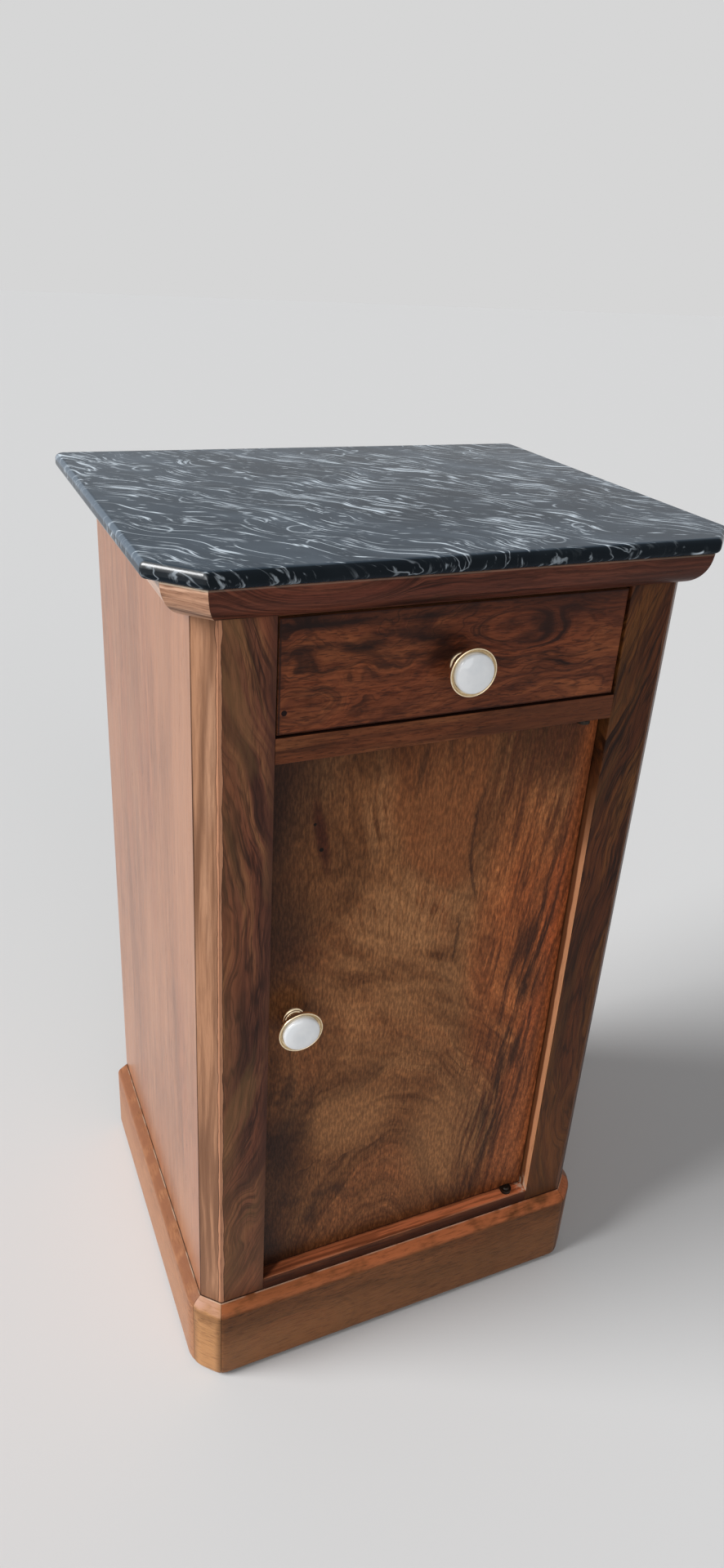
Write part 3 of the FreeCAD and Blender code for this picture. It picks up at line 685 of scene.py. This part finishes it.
plinth_corner_radii = [0.0, 0.03, 0.014, 0.014, 0.03, 0.0]
plinth_tones = {
    "x": ((0.03, 0.012, 0.006), (0.112, 0.042, 0.014), (0.172, 0.063, 0.022), (0.215, 0.082, 0.029),
          (0.195, 0.057, 0.018)),
    "corner": ((0.1, 0.04, 0.016), (0.32, 0.15, 0.06), (0.42, 0.206, 0.085), (0.48, 0.245, 0.107),
               (0.42, 0.18, 0.072)),
    "y": ((0.1, 0.036, 0.018), (0.265, 0.112, 0.052), (0.365, 0.16, 0.076), (0.42, 0.2, 0.1),
          (0.37, 0.145, 0.066)),
}
# The slope's colour is wear, and painted light where it faces up; the foot's paler colour is painted light.
worn_and_lit_slope = {"x": (0.45, 0.134, 0.05), "corner": (0.48, 0.262, 0.18), "y": (0.24, 0.098, 0.05)}
foot_light = {"x": (0.25, 0.106, 0.04), "corner": (0.5, 0.25, 0.105), "y": (0.4, 0.185, 0.09)}
corner_start = (plinth_low.x - plinth_low.y) * diagonal
corner_end = (plinth_front_low.x - plinth_front_low.y) * diagonal
corner_half = (corner_end - corner_start) / 2

for index, (place, along, shade) in enumerate(lengths):
    wood, fibres = length_walnut("plinth_walnut_" + place, along, plinth_tones[shade], rings_per_metre=60,
                                 seams=0.15, edges=0.4, fibre=0.45)
    x, z, slope = wood.x, wood.z, wood.facing_z
    wood.tint(z.fall(0.03, 0.076) * (x.fall(-0.16, 0.04) * 0.4 + 0.4) * fibres.rise(0.1, 0.6),
              foot_light[shade])
    worn = wood.cloud(x * 40, wood.y * 40, z * 60, detail=3)
    wood.tint(slope.rise(0.04, 0.72) * worn.rise(0.26, 0.54) * (fibres.rise(0.3, 0.56) * 0.5 + 0.5),
              worn_and_lit_slope[shade])
    wood.tint(slope.rise(0.1, 0.65) * x.within(-0.19, -0.18, -0.15, -0.02) * 0.5, plinth_tones[shade][2])
    wood.tint(z.rise(plinth_top - 0.0011, plinth_top - 0.0004) * worn.rise(0.4, 0.56) * 0.42, worn_white)
    if along == "corner":
        from_middle = abs((-abs(x) - wood.y) * diagonal - corner_start - corner_half)
        near_mitre = from_middle.rise(corner_half * 0.45, corner_half) * 0.62
        under_slope = (z + worn * 0.01).rise(plinth_top - 0.022, plinth_top - 0.006) * 0.42
        wood.tint(near_mitre.most(under_slope) * slope.fall(0.02, 0.3), plinth_tones[shade][0])
    wood.tint(z.fall(0.0015, 0.006) * 0.6, joint_shadow)
    french_polish(wood, fibres)
    fit_length(index, "plinth", "board", plinth_profile, plinth_rounding, plinth_plan, plinth_gap,
               plinth_corner_radii, wood)


# Cornice. Five mitred lengths of ovolo moulding, run in walnut, carry the overhang of the marble.
# The front is dark and wavy; the left and its corner are painted pale as painted light, and the right
# length takes the plinth's side tones. The top arris is rubbed pale, the rub painted strong on the lit
# left and corner and faint on the front, which lies in the marble's shadow.

cornice_low, cornice_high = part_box("cornice_left")
cornice_front_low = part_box("cornice_front")[0]
cornice_out = -half_width - cornice_low.x
cornice_top = cornice_high.z
cornice_rise = cornice_top - cornice_low.z
cornice_gap = 0.0001
cornice_plan = plan_corners(-cornice_low.x, cornice_front_low.y, cornice_low.y, -cornice_front_low.x,
                            cornice_high.y)
ovolo_steps = 20
cornice_profile = [(0.0, cornice_top, 0.0)]
for step in range(ovolo_steps + 1):
    turn = math.pi / 2 * step / ovolo_steps
    cornice_profile.append((cornice_out * math.sin(turn), cornice_top - cornice_rise * math.cos(turn), 0.0))
cornice_rounding = [0.0] * (ovolo_steps + 1) + [0.0009]
sharp_corners = [0.0] * len(cornice_plan)
# The tones for the left length and its corner are pale, as painted light.
cornice_tones = {
    "x": ((0.01, 0.004, 0.003), (0.04, 0.012, 0.007), (0.107, 0.031, 0.018), (0.18, 0.055, 0.031),
          (0.133, 0.035, 0.02)),
    "corner": ((0.09, 0.035, 0.018), (0.34, 0.175, 0.107), (0.62, 0.35, 0.225), (0.76, 0.49, 0.35),
               (0.58, 0.305, 0.186)),
    "y": ((0.2, 0.084, 0.046), (0.57, 0.33, 0.21), (0.73, 0.455, 0.305), (0.79, 0.52, 0.365),
          (0.66, 0.375, 0.243)),
}
# The rub is also a painted light: strong on the lit left and corner, faint on the front in the marble's
# shadow.
arris_rub_and_light = {"x": 0.15, "corner": 0.9, "y": 0.7}
cornice_gloss = {"x": {}, "corner": {}, "y": {"specular_ior_level": 0.5, "coat_weight": 0.4}}

for index, (place, along, shade) in enumerate(lengths):
    tones = plinth_tones["y"] if place == "right" else cornice_tones[shade]
    wood, fibres = length_walnut("cornice_walnut_" + place, along, tones, rings_per_metre=150, seams=0.9,
                                 edges=0.7, fibre=0.3)
    wood.tint(wood.x.rise(0.04, 0.15) * 0.55, tones[1])
    wood.tint(wood.z.rise(cornice_top - 0.0016, cornice_top - 0.0006) * arris_rub_and_light[shade], worn_white)
    french_polish(wood, fibres, coat_roughness=0.2, **cornice_gloss[shade])
    fit_length(index, "cornice", "length", cornice_profile, cornice_rounding, cornice_plan, cornice_gap,
               sharp_corners, wood)


# Marble. One sawn slab of black fossil marble lies loose on the cornice, its edges rounded and all
# its faces polished. White wisps run across it aslant, among short flecks and curls of shell.

marble = Surface("black_marble")
x, y, z = marble.x, marble.y, marble.z
streak_x, streak_y = 0.66, 0.75
fleck_x, fleck_y = 0.92, 0.39
bend = marble.lumps(9) - 0.5
run = x * streak_x - y * streak_y + bend * 0.09
cross = x * streak_y + y * streak_x + bend * 0.08
shade = marble.cloud(run * 12, cross * 34, z * 30, detail=4)
marble.ramp(shade, (0.38, (0.009, 0.014, 0.02)), (0.56, (0.026, 0.037, 0.05)),
            (0.76, (0.085, 0.107, 0.132)))
drifts = marble.cloud(run * 9, cross * 22, z * 20).rise(0.36, 0.6)
wisps = marble.cloud(run * 24, cross * 240, z * 40, detail=4, roughness=0.66).rise(0.56, 0.68)
hairs = (marble.cloud(run * 4 + 7, cross * 60, z * 40, detail=3) - 0.5).line(0.0, 0.02)
broken = marble.cloud(run * 20, cross * 36, z * 40).rise(0.44, 0.58)
fleck_run = x * fleck_x - y * fleck_y + bend * 0.05
fleck_cross = x * fleck_y + y * fleck_x + bend * 0.04
flecks = marble.cloud(fleck_run * 55, fleck_cross * 330, z * 90, detail=3).rise(0.63, 0.72)
shells = marble.pattern("ShaderNodeTexVoronoi", (x * 36 + bend + 0.4, y * 36, z * 36 - bend))
open_side = marble.lumps(40).rise(0.5, 0.6)
beds = marble.cloud(x * 15 + 4, y * 15, z * 15).rise(0.46, 0.58)
off_cant = abs(marble.facing_x + 0.7).rise(0.1, 0.4)
curls = (shells - 0.34).line(0.004, 0.05) * open_side * beds * off_cant
edge = abs(marble.facing_z).fall(0.8, 0.97)
rounding = marble.facing_z.within(-0.1, 0.25, 0.88, 0.99) * (-marble.facing_x).rise(0.15, 0.4)
cant_rounding = rounding * (-marble.facing_y).rise(0.1, 0.3)
left_rounding = rounding * (-marble.facing_y).fall(0.1, 0.3)
streaked = (wisps * drifts).most(hairs * broken * 0.9).most(flecks * 0.85)
white = (streaked * (-edge * 0.65 + 1)).most(curls * (edge * 0.4 + 0.55))
# Painted reflection: the top is paler and bluer at the left and front, and darker at the right.
marble.tint(x.fall(-0.2, 0.02) * 0.4, (0.04, 0.06, 0.08))
marble.tint(x.rise(0.02, 0.2) * 0.25, (0.012, 0.017, 0.023))
marble.tint(y.fall(-0.16, -0.05) * 0.3, (0.05, 0.066, 0.084))
# Painted shade: the upright edges are made near black, darker than the top.
marble.tint(edge * 0.92, (0.006, 0.008, 0.01))
# Painted reflection: a pale blue band along the rounding of the left edge.
marble.tint(left_rounding * 0.8, (0.11, 0.145, 0.185))
marble.tint(white, (0.7, 0.79, 0.87))
marble.finish(roughness=0.1, specular_ior_level=0.035, sheen_weight=0.05, sheen_tint=(0.3, 0.6, 1.0, 1.0),
              coat_weight=cant_rounding * 0.9 + left_rounding * 0.15, coat_roughness=0.3, coat_ior=1.9)
dress("marble_top", marble)


# Door. A single board hangs on pivots at its right, faced with one leaf of walnut whose figure
# arches up from the foot. The left edge is nearly black, from its dark figure and a painted shadow of
# the left post, and the right one orange; worms have bored it. A painted shadow darkens the top under
# the drawer rail. Its inner face and edges are plain, straight-grained walnut.

def plain_back(surface, share, along, across):
    """Covers the faces that were never polished with plain, straight-grained walnut."""
    surface.tint(share * 0.92, (0.3, 0.15, 0.07))
    bands = surface.cloud(across * 26, along * 2.5, 9.0, detail=3)
    surface.tint(share * bands.fall(0.38, 0.56) * 0.5, (0.205, 0.093, 0.041))
    streaks = surface.cloud(across * 240, along * 7, 4.0, detail=4, roughness=0.6)
    surface.tint(share * streaks.fall(0.38, 0.58) * 0.45, (0.15, 0.064, 0.028))


door = Surface("door_walnut")
x, z = door.x, door.z
door_tones = ((0.026, 0.011, 0.007), (0.14, 0.053, 0.019), (0.235, 0.096, 0.036), (0.32, 0.146, 0.058),
              (0.25, 0.084, 0.03))
door_black, door_deep = door_tones[:2]
shade_and_figure_dark = (0.3, 0.25, 0.22)
honey = (0.39, 0.182, 0.074)
arch_x, arch_z = -0.026, 0.075
fan_foot, fan_least = 0.36, 0.1
wedge_x, wedge_z = -0.085, 0.476
orange_foot, orange_lean = 0.08, 0.06
streak_foot, streak_lean = 0.147, 0.117
zigzag_x, zigzag_z, zigzag_lean = -0.115, 0.213, 0.12
crack_x, crack_z, low_crack_x = 0.0345, 0.53, 0.029
slit_x, slit_z, slit_lean = -0.097, 0.558, -0.18
fan = (z - fan_foot).most(fan_least)
sideways = (x - arch_x) * fan_least / fan
upward = (z - arch_z).made("SMOOTH_MIN", 0.3, 0.16) * 0.52
drift = door.cloud(x * 13, 0.0, z * 7)
arches = (sideways.squared() + upward.squared()).root() + (drift - 0.5) * 0.045
upright = x * z.rise(0.28, 0.5)
rings = arches * 90 + upright * 45
fibres = veneer(door, rings, z, x, door.y, door_tones, spread=0.13, seams=0.45, edges=0.5, fibre=0.42)
chatter = door.cloud(x * 230, 0.0, z * 190 + x * 60, detail=4, roughness=0.6)
door.tint(chatter.fall(0.36, 0.56) * 0.42, door_deep)
shading = door.cloud(x * 20, 0.0, z * 11 + 5, detail=3)
door.tint(shading.fall(0.36, 0.5) * 0.45, door_deep)
for arch_reach in (0.074, 0.125):
    door.tint((arches - arch_reach).line(0.0, 0.012) * shading.fall(0.4, 0.62) * 0.6, (0.08, 0.03, 0.012))
growth_lines = door.cloud(rings * 2.4 + 5, z * 5, x * 5, detail=4, roughness=0.65)
door.stain(growth_lines.fall(0.36, 0.5) * 0.42, (0.3, 0.23, 0.18))
door.stain(growth_lines.rise(0.52, 0.66) * 0.35, (1.45, 1.4, 1.32))
ragged = (drift - 0.5) * 0.06
centre = door.spot((-0.01, 0.42), (0.12, 0.15))
ripples = door.cloud(x * 22, 0.0, z * 60 + x * 30, detail=3)
door.tint(centre * ripples.rise(0.3, 0.7) * 0.45, honey)
plumes = door.cloud(sideways * 260 + shading * 3, 0.0, z * 11, detail=4, roughness=0.6).rise(0.46, 0.62)
pale_fan = door.spot((-0.05, 0.58), (0.018, 0.07)).most(door.spot((-0.02, 0.47), (0.07, 0.05)))
door.tint(pale_fan * plumes.fall(0.0, 1.0) * 0.4, (0.4, 0.19, 0.08))
roughened = (chatter - 0.5) * 0.018 + (shading - 0.5) * 0.05 + ragged * 0.1
wedge_left = x - wedge_x - ((z - wedge_z) * 158 + 8.2).made("POWER", -1.0) + roughened
wedge = wedge_left.rise(-0.004, 0.014) * (x + roughened).fall(0.03, 0.044) * z.rise(0.474, 0.505)
door.tint(wedge * 0.55, (0.205, 0.066, 0.022))
wedge_rim = wedge_left.line(0.0004, 0.006) * z.within(0.476, 0.486, 0.545, 0.59)
door.tint(wedge_rim * shading.fall(0.4, 0.62) * 0.5, door_black)
door.tint(plumes * z.rise(0.44, 0.6) * 0.45, door_deep)
door.tint(plumes * door.spot((0.0, 0.603), (0.055, 0.036)) * 0.5, door_black)
# Painted shadow of the drawer rail across the top, and painted shade in the top left corner.
door.stain(z.rise(0.57, 0.63) * 0.42, shade_and_figure_dark)
door.tint(door.spot((-0.125, 0.62), (0.06, 0.09)) * 0.6, door_black)
# Dark spots: the first is painted shade in the top right corner, the other two are dark figure.
for dark_middle, dark_reach, share in (((0.105, 0.615), (0.065, 0.055), 0.75),
                                       ((-0.05, 0.622), (0.034, 0.024), 0.5),
                                       ((0.106, 0.175), (0.018, 0.09), 0.5)):
    door.stain(door.spot(dark_middle, dark_reach) * share, shade_and_figure_dark)
for pale_middle, pale_reach in (((0.045, 0.205), (0.06, 0.085)), ((-0.06, 0.262), (0.055, 0.05))):
    door.tint(door.spot(pale_middle, pale_reach) * 0.4, honey)
# A painted reflection of the brass knob lightens the left edge beside it; the dark left edge is partly the
# veneer's own and partly a painted shadow of the left post.
knob_reflection = door.spot((-0.12, 0.365), (0.055, 0.095))
left_edge = (x + ragged).fall(-0.128, -0.082) * (-knob_reflection * 0.7 + 1)
door.tint(left_edge * (shading.fall(0.36, 0.6) * 0.18 + 0.81), (0.03, 0.012, 0.007))
orange_from = z * orange_lean + orange_foot
orange = (x - orange_from - ragged).rise(0.0, 0.026) * fibres.rise(0.1, 0.5)
door.tint(orange * 0.85, (0.3, 0.082, 0.026))
door.tint(orange * z.fall(0.14, 0.4) * 0.7, (0.33, 0.108, 0.037))
door.stain(door.spot((0.088, 0.42), (0.055, 0.2)) * 0.8, (1.62, 1.18, 0.95))
leaning = x - (z - streak_foot) * streak_lean
waving = leaning + (drift - 0.5) * 0.012 + (shading - 0.5) * 0.008
pinstripes = door.cloud(waving * 190, 0.0, z * 9, detail=5, roughness=0.62).rise(0.45, 0.58)
right_third = (x - ragged).rise(0.03, 0.075)
door.tint(pinstripes * right_third * (shading.fall(0.36, 0.66) * 0.4 + 0.5), (0.08, 0.024, 0.01))
door.tint(chatter.fall(0.38, 0.6) * orange * 0.45, (0.125, 0.036, 0.013))
bold_streaks = door.cloud(waving * 150, 0.0, z * 13, detail=5, roughness=0.6).rise(0.45, 0.58)
door.tint(bold_streaks * door.spot((0.082, 0.32), (0.032, 0.31), leaning) * 0.85, door_black)
door.stain((z + ragged * 0.3).fall(0.105, 0.15) * 0.6, shade_and_figure_dark)
blotches = door.cloud(x * 40, 0.0, z * 40, detail=4).rise(0.4, 0.64)
low_left = door.spot((-0.092, 0.168), (0.055, 0.048)).most(door.spot((-0.12, 0.28), (0.036, 0.08)))
door.tint(low_left * blotches * 0.7, door_black)
jag = door.cloud(x * 50, 0.0, 3.0, detail=4) - 0.5
over_zigzag = z - zigzag_z - (x - zigzag_x) * zigzag_lean + jag * 0.036
zigzag = over_zigzag.line(0.0004, 0.002).most(over_zigzag.within(-0.016, 0.0, 0.0, 0.001) * 0.5)
door.tint(zigzag * x.within(-0.125, -0.105, -0.025, -0.006) * blotches.most(0.4) * 0.6, door_black)
for seam_x, seam_top in ((0.04, 0.2), (0.063, 0.25)):
    seam = (x - seam_x + (drift - 0.5) * 0.012).line(0.0004, 0.0016)
    door.tint(seam * z.fall(seam_top - 0.08, seam_top) * 0.4, door_black)
bow = (z - crack_z).squared() * 2.2
crack = (x - crack_x - bow + roughened * 0.3).line(0.0003, 0.0026)
door.tint(crack * z.within(0.465, 0.485, 0.555, 0.6) * 0.65, door_black)
low_crack = (x - low_crack_x + roughened * 0.4).line(0.0003, 0.0022)
door.tint(low_crack * z.within(0.4, 0.42, 0.45, 0.468) * 0.6, door_black)
beside_slit = x - (z - slit_z) * slit_lean
door.tint(door.spot((slit_x, slit_z), (0.007, 0.042), beside_slit) * 0.85, (0.04, 0.009, 0.005))
for hole_middle, hole_reach in (((-0.103, 0.571), 0.0016), ((-0.097, 0.548), 0.0022)):
    hole = door.spot(hole_middle, (hole_reach, hole_reach)).rise(0.1, 0.4)
    door.tint(hole, (0.006, 0.003, 0.002))
door_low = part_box("door_panel")[0]
door.tint((z - door_low.z).fall(0.001, 0.003) * 0.8, joint_shadow)
flecks = door.cloud(x * 560, 0.0, z * 150, detail=3, roughness=0.6)
door.stain(flecks.fall(0.38, 0.54) * 0.34, fibre_shadow)
door.stain(flecks.rise(0.48, 0.64) * 0.5, (1.75, 1.65, 1.55))
plain_back(door, door.facing_y.rise(0.5, 0.9), z, x)
french_polish(door, fibres)
dress("door_panel", door)


# Drawer. Its front is veneered with a red burr leaf full of knots and black zigzag seams, and it is
# dovetailed to the box behind. One old worm hole shows at the lower left.

drawer = Surface("drawer_walnut")
x, z = drawer.x, drawer.z
drawer_tones = ((0.014, 0.007, 0.006), (0.05, 0.016, 0.01), (0.16, 0.045, 0.019), (0.245, 0.075, 0.029),
                (0.215, 0.056, 0.022))
drawer_black, drawer_deep = drawer_tones[:2]
drift = drawer.cloud(x * 9, 0.0, z * 22, detail=3)
churn = drawer.cloud(x * 30, 0.0, z * 26, detail=3) * x.fall(-0.06, 0.02)
left_knot = drawer.spot((-0.117, 0.669), (0.035, 0.022)) * 2.5
right_knot = drawer.spot((0.046, 0.712), (0.05, 0.022)) * 2.5
rings = z * 64 + drift * 5 + churn * 3 + (left_knot + right_knot)
fibres = veneer(drawer, rings, x, z, drawer.y, drawer_tones, seams=0.9, lines=0.5, fibre=0.5)
zigzags = drawer.cloud(rings * 1.1 + 80, x * 14, 0.0, detail=3, roughness=0.6).rise(0.48, 0.64)
drawer.tint(zigzags * drawer.spot((-0.07, 0.682), (0.075, 0.034)) * 0.8, drawer_black)
smoke_and_shadow_cloud = drawer.cloud(x * 24, 0.0, z * 70, detail=3).rise(0.38, 0.58)
# The patch just left of the knob is a painted shadow of the knob; the other two are smoke figure.
for smoke_and_shadow_middle, smoke_and_shadow_reach in (((-0.05, 0.714), 0.06), ((-0.013, 0.701), 0.03), ((0.078, 0.718), 0.03)):
    drawer.tint(drawer.spot(smoke_and_shadow_middle, (smoke_and_shadow_reach, 0.016)) * smoke_and_shadow_cloud * 0.8, drawer_black)
for band_z, band_reach in ((0.713, 0.006), (0.73, 0.005)):
    band = (z - band_z + (drift - 0.5) * 0.012).line(0.0005, band_reach)
    drawer.tint(band * x.fall(-0.03, 0.01) * smoke_and_shadow_cloud.most(0.45) * 0.9, drawer_black)
drawer.tint((x + drift * 0.03).rise(0.03, 0.08) * z.rise(0.69, 0.73) * 0.35, drawer_deep)
# Painted shadow under the cornice across the top.
drawer.tint(z.rise(0.722, 0.737) * 0.5, drawer_black)
front_low, front_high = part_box("drawer_front")
gap_line = (z - front_low.z).fall(0.0008, 0.0018).most((x - front_low.x).fall(0.0012, 0.0024))
gap_line = gap_line.most((z - front_high.z).rise(-0.0016, -0.0008))
drawer.tint(gap_line * (-drawer.facing_y).rise(0.8, 0.95) * 0.85, joint_shadow)
plain_back(drawer, (-drawer.facing_y).fall(-0.2, 0.4), x, z - drawer.y)
hole = drawer.spot((-0.133, 0.669), (0.0026, 0.0026)).rise(0.1, 0.4)
drawer.tint(hole, (0.01, 0.003, 0.003))
french_polish(drawer, fibres)
dress("drawer_front", drawer)


# Knobs. Each is turned from brass, with a stepped rosette, a thin neck and a flared cup whose rolled
# rim holds a domed porcelain disc. A steel screw from inside draws it to the drawer or the door.

turned_piece = Rule("turned_piece", foot="Vector", sides="Int")
knob_foot, knob_sides = turned_piece.sizes()
spun = turned_piece.turned(turned_piece.drawn(corner_steps=4), steps=knob_sides)
facing_front = (math.pi / 2, 0.0, 0.0)
fixed = turned_piece.node("Transform", geometry=spun, rotation=facing_front, translation=knob_foot)
turned_piece.end(fixed)

# radius, reach and rounding of each point, in millimetres
brass_profile = [(0.0, 0.0, 0.0), (9.7, 0.0, 0.0), (9.7, 1.8, 3.0), (8.6, 2.6, 0.3), (8.4, 4.0, 2.0),
                 (6.4, 4.9, 0.8), (5.2, 8.2, 6.0), (6.6, 12.0, 4.0), (13.0, 14.0, 3.0), (17.2, 15.4, 2.0),
                 (18.6, 17.4, 1.4), (18.5, 19.9, 1.0), (17.6, 20.1, 0.7), (16.7, 18.3, 1.0),
                 (15.4, 18.0, 0.3), (15.2, 17.4, 0.2), (0.0, 17.4, 0.0)]
disc_profile = [(0.0, 17.5, 0.0), (15.0, 17.5, 0.0), (15.4, 22.8, 2.4), (9.0, 24.8, 12.0), (0.0, 25.4, 0.0)]

brass = Surface("polished_brass")
cast = brass.lumps(400, detail=3)
brass.ramp(cast, (0.3, (0.84, 0.66, 0.42)), (0.7, (0.96, 0.81, 0.58)))
brass.finish(roughness=cast * 0.12 + 0.14, metallic=1.0)
porcelain = Surface("white_porcelain")
glaze = porcelain.lumps(120, detail=3)
porcelain.ramp(glaze, (0.3, (0.73, 0.75, 0.77)), (0.7, (0.8, 0.81, 0.82)))
porcelain.finish(roughness=0.08, specular_ior_level=0.9)

for body in ("door", "drawer"):
    low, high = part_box(body + "_knob_body")
    foot = (low + high) / 2
    foot.y = high.y
    for part, profile, finish, slot in (("body", brass_profile, brass, "brass"),
                                        ("disc", disc_profile, porcelain, "porcelain")):
        points = [(radius / 1000, reach / 1000, 0.0) for radius, reach, rounding in profile]
        roundings = [rounding / 1000 for radius, reach, rounding in profile]
        edges = [(first, first + 1) for first in range(len(points) - 1)]
        mesh = line_mesh("knob_profile", points, edges, rounding=roundings)
        sizes = {"foot": tuple(foot), "sides": 72, "finish": finish.material}
        turned_piece.piece(f"{body}_knob_{part}_turned", mesh, sizes, body, slot, f"{body}_knob_{part}")


# Screws. Slotted steel screws: four countersunk ones hold the pivot arms to the door's ends, and one
# with a raised head draws up each knob from inside. The catch's keeper is of the same bright steel.

steel = Surface("bright_steel")
brushing = steel.cloud(steel.x * 2200, steel.y * 2200, steel.z * 300)
tarnish = steel.lumps(160, detail=3)
steel.ramp(brushing * 0.5 + tarnish * 0.5, (0.35, (0.36, 0.35, 0.34)), (0.65, (0.58, 0.58, 0.6)))
steel.relief(brushing, 0.00003)
steel.finish(roughness=tarnish * 0.25 + 0.22, metallic=1.0)
dress("catch_keeper", steel)

screws = Rule("slotted_screws", face_radius="Float", neck_radius="Float", head_depth="Float",
              shank_radius="Float", shank_length="Float", slot_width="Float", slot_depth="Float")
face_radius, neck_radius, head_depth, shank_radius, shank_length, slot_width, slot_depth = screws.sizes()
sink = -head_depth
head = screws.node("MeshCone", vertices=28, radius_top=face_radius, radius_bottom=neck_radius,
                   depth=head_depth)
head = screws.node("Transform", geometry=head, translation=screws.point(0.0, 0.0, sink))
cut = screws.node("MeshCube", size=screws.point(face_radius * 3, slot_width, slot_depth * 2))
head = screws.node("MeshBoolean", {"operation": "DIFFERENCE"}, mesh_1=head, mesh_2=cut)
shank = screws.node("MeshCone", vertices=16, radius_top=shank_radius, radius_bottom=shank_radius * 0.6,
                    depth=shank_length)
shank = screws.node("Transform", geometry=shank, translation=screws.point(0.0, 0.0, sink - shank_length))
screw = screws.node("JoinGeometry", geometry=[head, shank])
toward = screws.point(0.0, screws.named("toward_back"), screws.named("toward_top"))
upright = screws.node("FunctionNodeAlignRotationToVector", {"axis": "Z"}, vector=toward)
driven = screws.node("InstanceOnPoints", points=screws.base, instance=screw, rotation=upright)
spin = screws.point(0.0, 0.0, screws.chance(0.0, math.tau, 13))
screws.end(screws.node("RotateInstances", instances=driven, rotation=spin))

arm_low, arm_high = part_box("pivot_arm_screws")
countersunk = {"face_radius": 0.0029, "neck_radius": 0.0014, "head_depth": 0.0018, "shank_radius": 0.0014,
               "shank_length": 0.0142, "slot_width": 0.0008, "slot_depth": 0.0009, "finish": steel.material}
middle_y = (arm_low.y + arm_high.y) / 2
screw_ends = (arm_low.x + countersunk["face_radius"], arm_high.x - countersunk["face_radius"])
points = [(x, middle_y, z) for z in (arm_low.z, arm_high.z) for x in screw_ends]
mesh = line_mesh("pivot_screw_points", points, toward_back=[0.0] * 4, toward_top=[-1.0, -1.0, 1.0, 1.0])
screws.piece("pivot_arm_slotted_screws", mesh, countersunk, "door", "steel", "pivot_arm_screws")

raised = {"face_radius": 0.0036, "neck_radius": 0.0042, "head_depth": 0.0024, "shank_radius": 0.002,
          "shank_length": 0.029, "slot_width": 0.0011, "slot_depth": 0.0012, "finish": steel.material}
for body in ("door", "drawer"):
    low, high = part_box(body + "_knob_screw")
    point = ((low.x + high.x) / 2, high.y, (low.z + high.z) / 2)
    mesh = line_mesh("knob_screw_point", [point], toward_back=[1.0], toward_top=[0.0])
    screws.piece(body + "_knob_slotted_screw", mesh, raised, body, "steel", body + "_knob_screw")


# Floor, light and camera. A plain pale floor runs out to a backdrop of the same grey. A wide, soft
# light stands high at the left and a weaker one in front; the camera looks down from the left front.

floor_half = 14.0
floor_corners = [(x * floor_half, y * floor_half, 0.0) for x, y in ((-1, -1), (1, -1), (1, 1), (-1, 1))]
floor_mesh = bpy.data.meshes.new("studio_floor")
floor_mesh.from_pydata(floor_corners, [], [(0, 1, 2, 3)])
floor = bpy.data.objects.new("studio_floor", floor_mesh)
bpy.context.scene.collection.objects.link(floor)
floor_paint = bpy.data.materials.new("floor_paint")
floor_paint.use_nodes = True
paint = floor_paint.node_tree.nodes["Principled BSDF"]
for name, value in (("Base Color", (0.7, 0.701, 0.702, 1)), ("Roughness", 1.0), ("Specular IOR Level", 0.0)):
    paint.inputs[name].default_value = value
floor_mesh.materials.append(floor_paint)

world = bpy.data.worlds.new("studio_world")
bpy.context.scene.world = world
world.use_nodes = True
sky = world.node_tree
seen = sky.nodes.new("ShaderNodeLightPath")
ambient = sky.nodes["Background"]
ambient.inputs["Color"].default_value = (0.2, 0.204, 0.208, 1)
backdrop = sky.nodes.new("ShaderNodeBackground")
backdrop.inputs["Color"].default_value = (0.672, 0.672, 0.672, 1)
shown = Field(sky, seen.outputs["Is Camera Ray"])
for ray in ("Is Glossy Ray", "Is Transmission Ray"):
    shown = shown.most(Field(sky, seen.outputs[ray]))
choose = sky.nodes.new("ShaderNodeMixShader")
join(sky, shown, choose.inputs[0])
sky.links.new(ambient.outputs[0], choose.inputs[1])
sky.links.new(backdrop.outputs[0], choose.inputs[2])
sky.links.new(choose.outputs[0], sky.nodes["World Output"].inputs["Surface"])

for name, toward, strength, width in (("window_light", (-0.8, 0.11, 0.6), 3.5, 32),
                                      ("room_light", (-0.25, -0.92, 0.3), 1.0, 60)):
    lamp = bpy.data.lights.new(name, "SUN")
    lamp.energy = strength
    lamp.angle = math.radians(width)
    source = bpy.data.objects.new(name, lamp)
    source.rotation_euler = (-Vector(toward)).to_track_quat("-Z", "Y").to_euler()
    bpy.context.scene.collection.objects.link(source)

image_width = 886
image_height = 1920
focal_pixels = 1289.13
centre_pixel = (453.3, 917.74)
lens = bpy.data.cameras.new("viewpoint")
lens.sensor_width = 36.0
lens.lens = focal_pixels * lens.sensor_width / image_height
lens.shift_x = (image_width / 2 - centre_pixel[0]) / image_height
lens.shift_y = (centre_pixel[1] - image_height / 2) / image_height
lens.clip_start = 0.01
camera = bpy.data.objects.new("viewpoint", lens)
camera.location = (-0.35615, -0.7656, 0.96669)
camera.rotation_euler = [math.radians(angle) for angle in (63.6157, -3.4563, -23.6439)]
bpy.context.scene.collection.objects.link(camera)
bpy.context.scene.camera = camera
bpy.context.scene.view_settings.view_transform = "Standard"
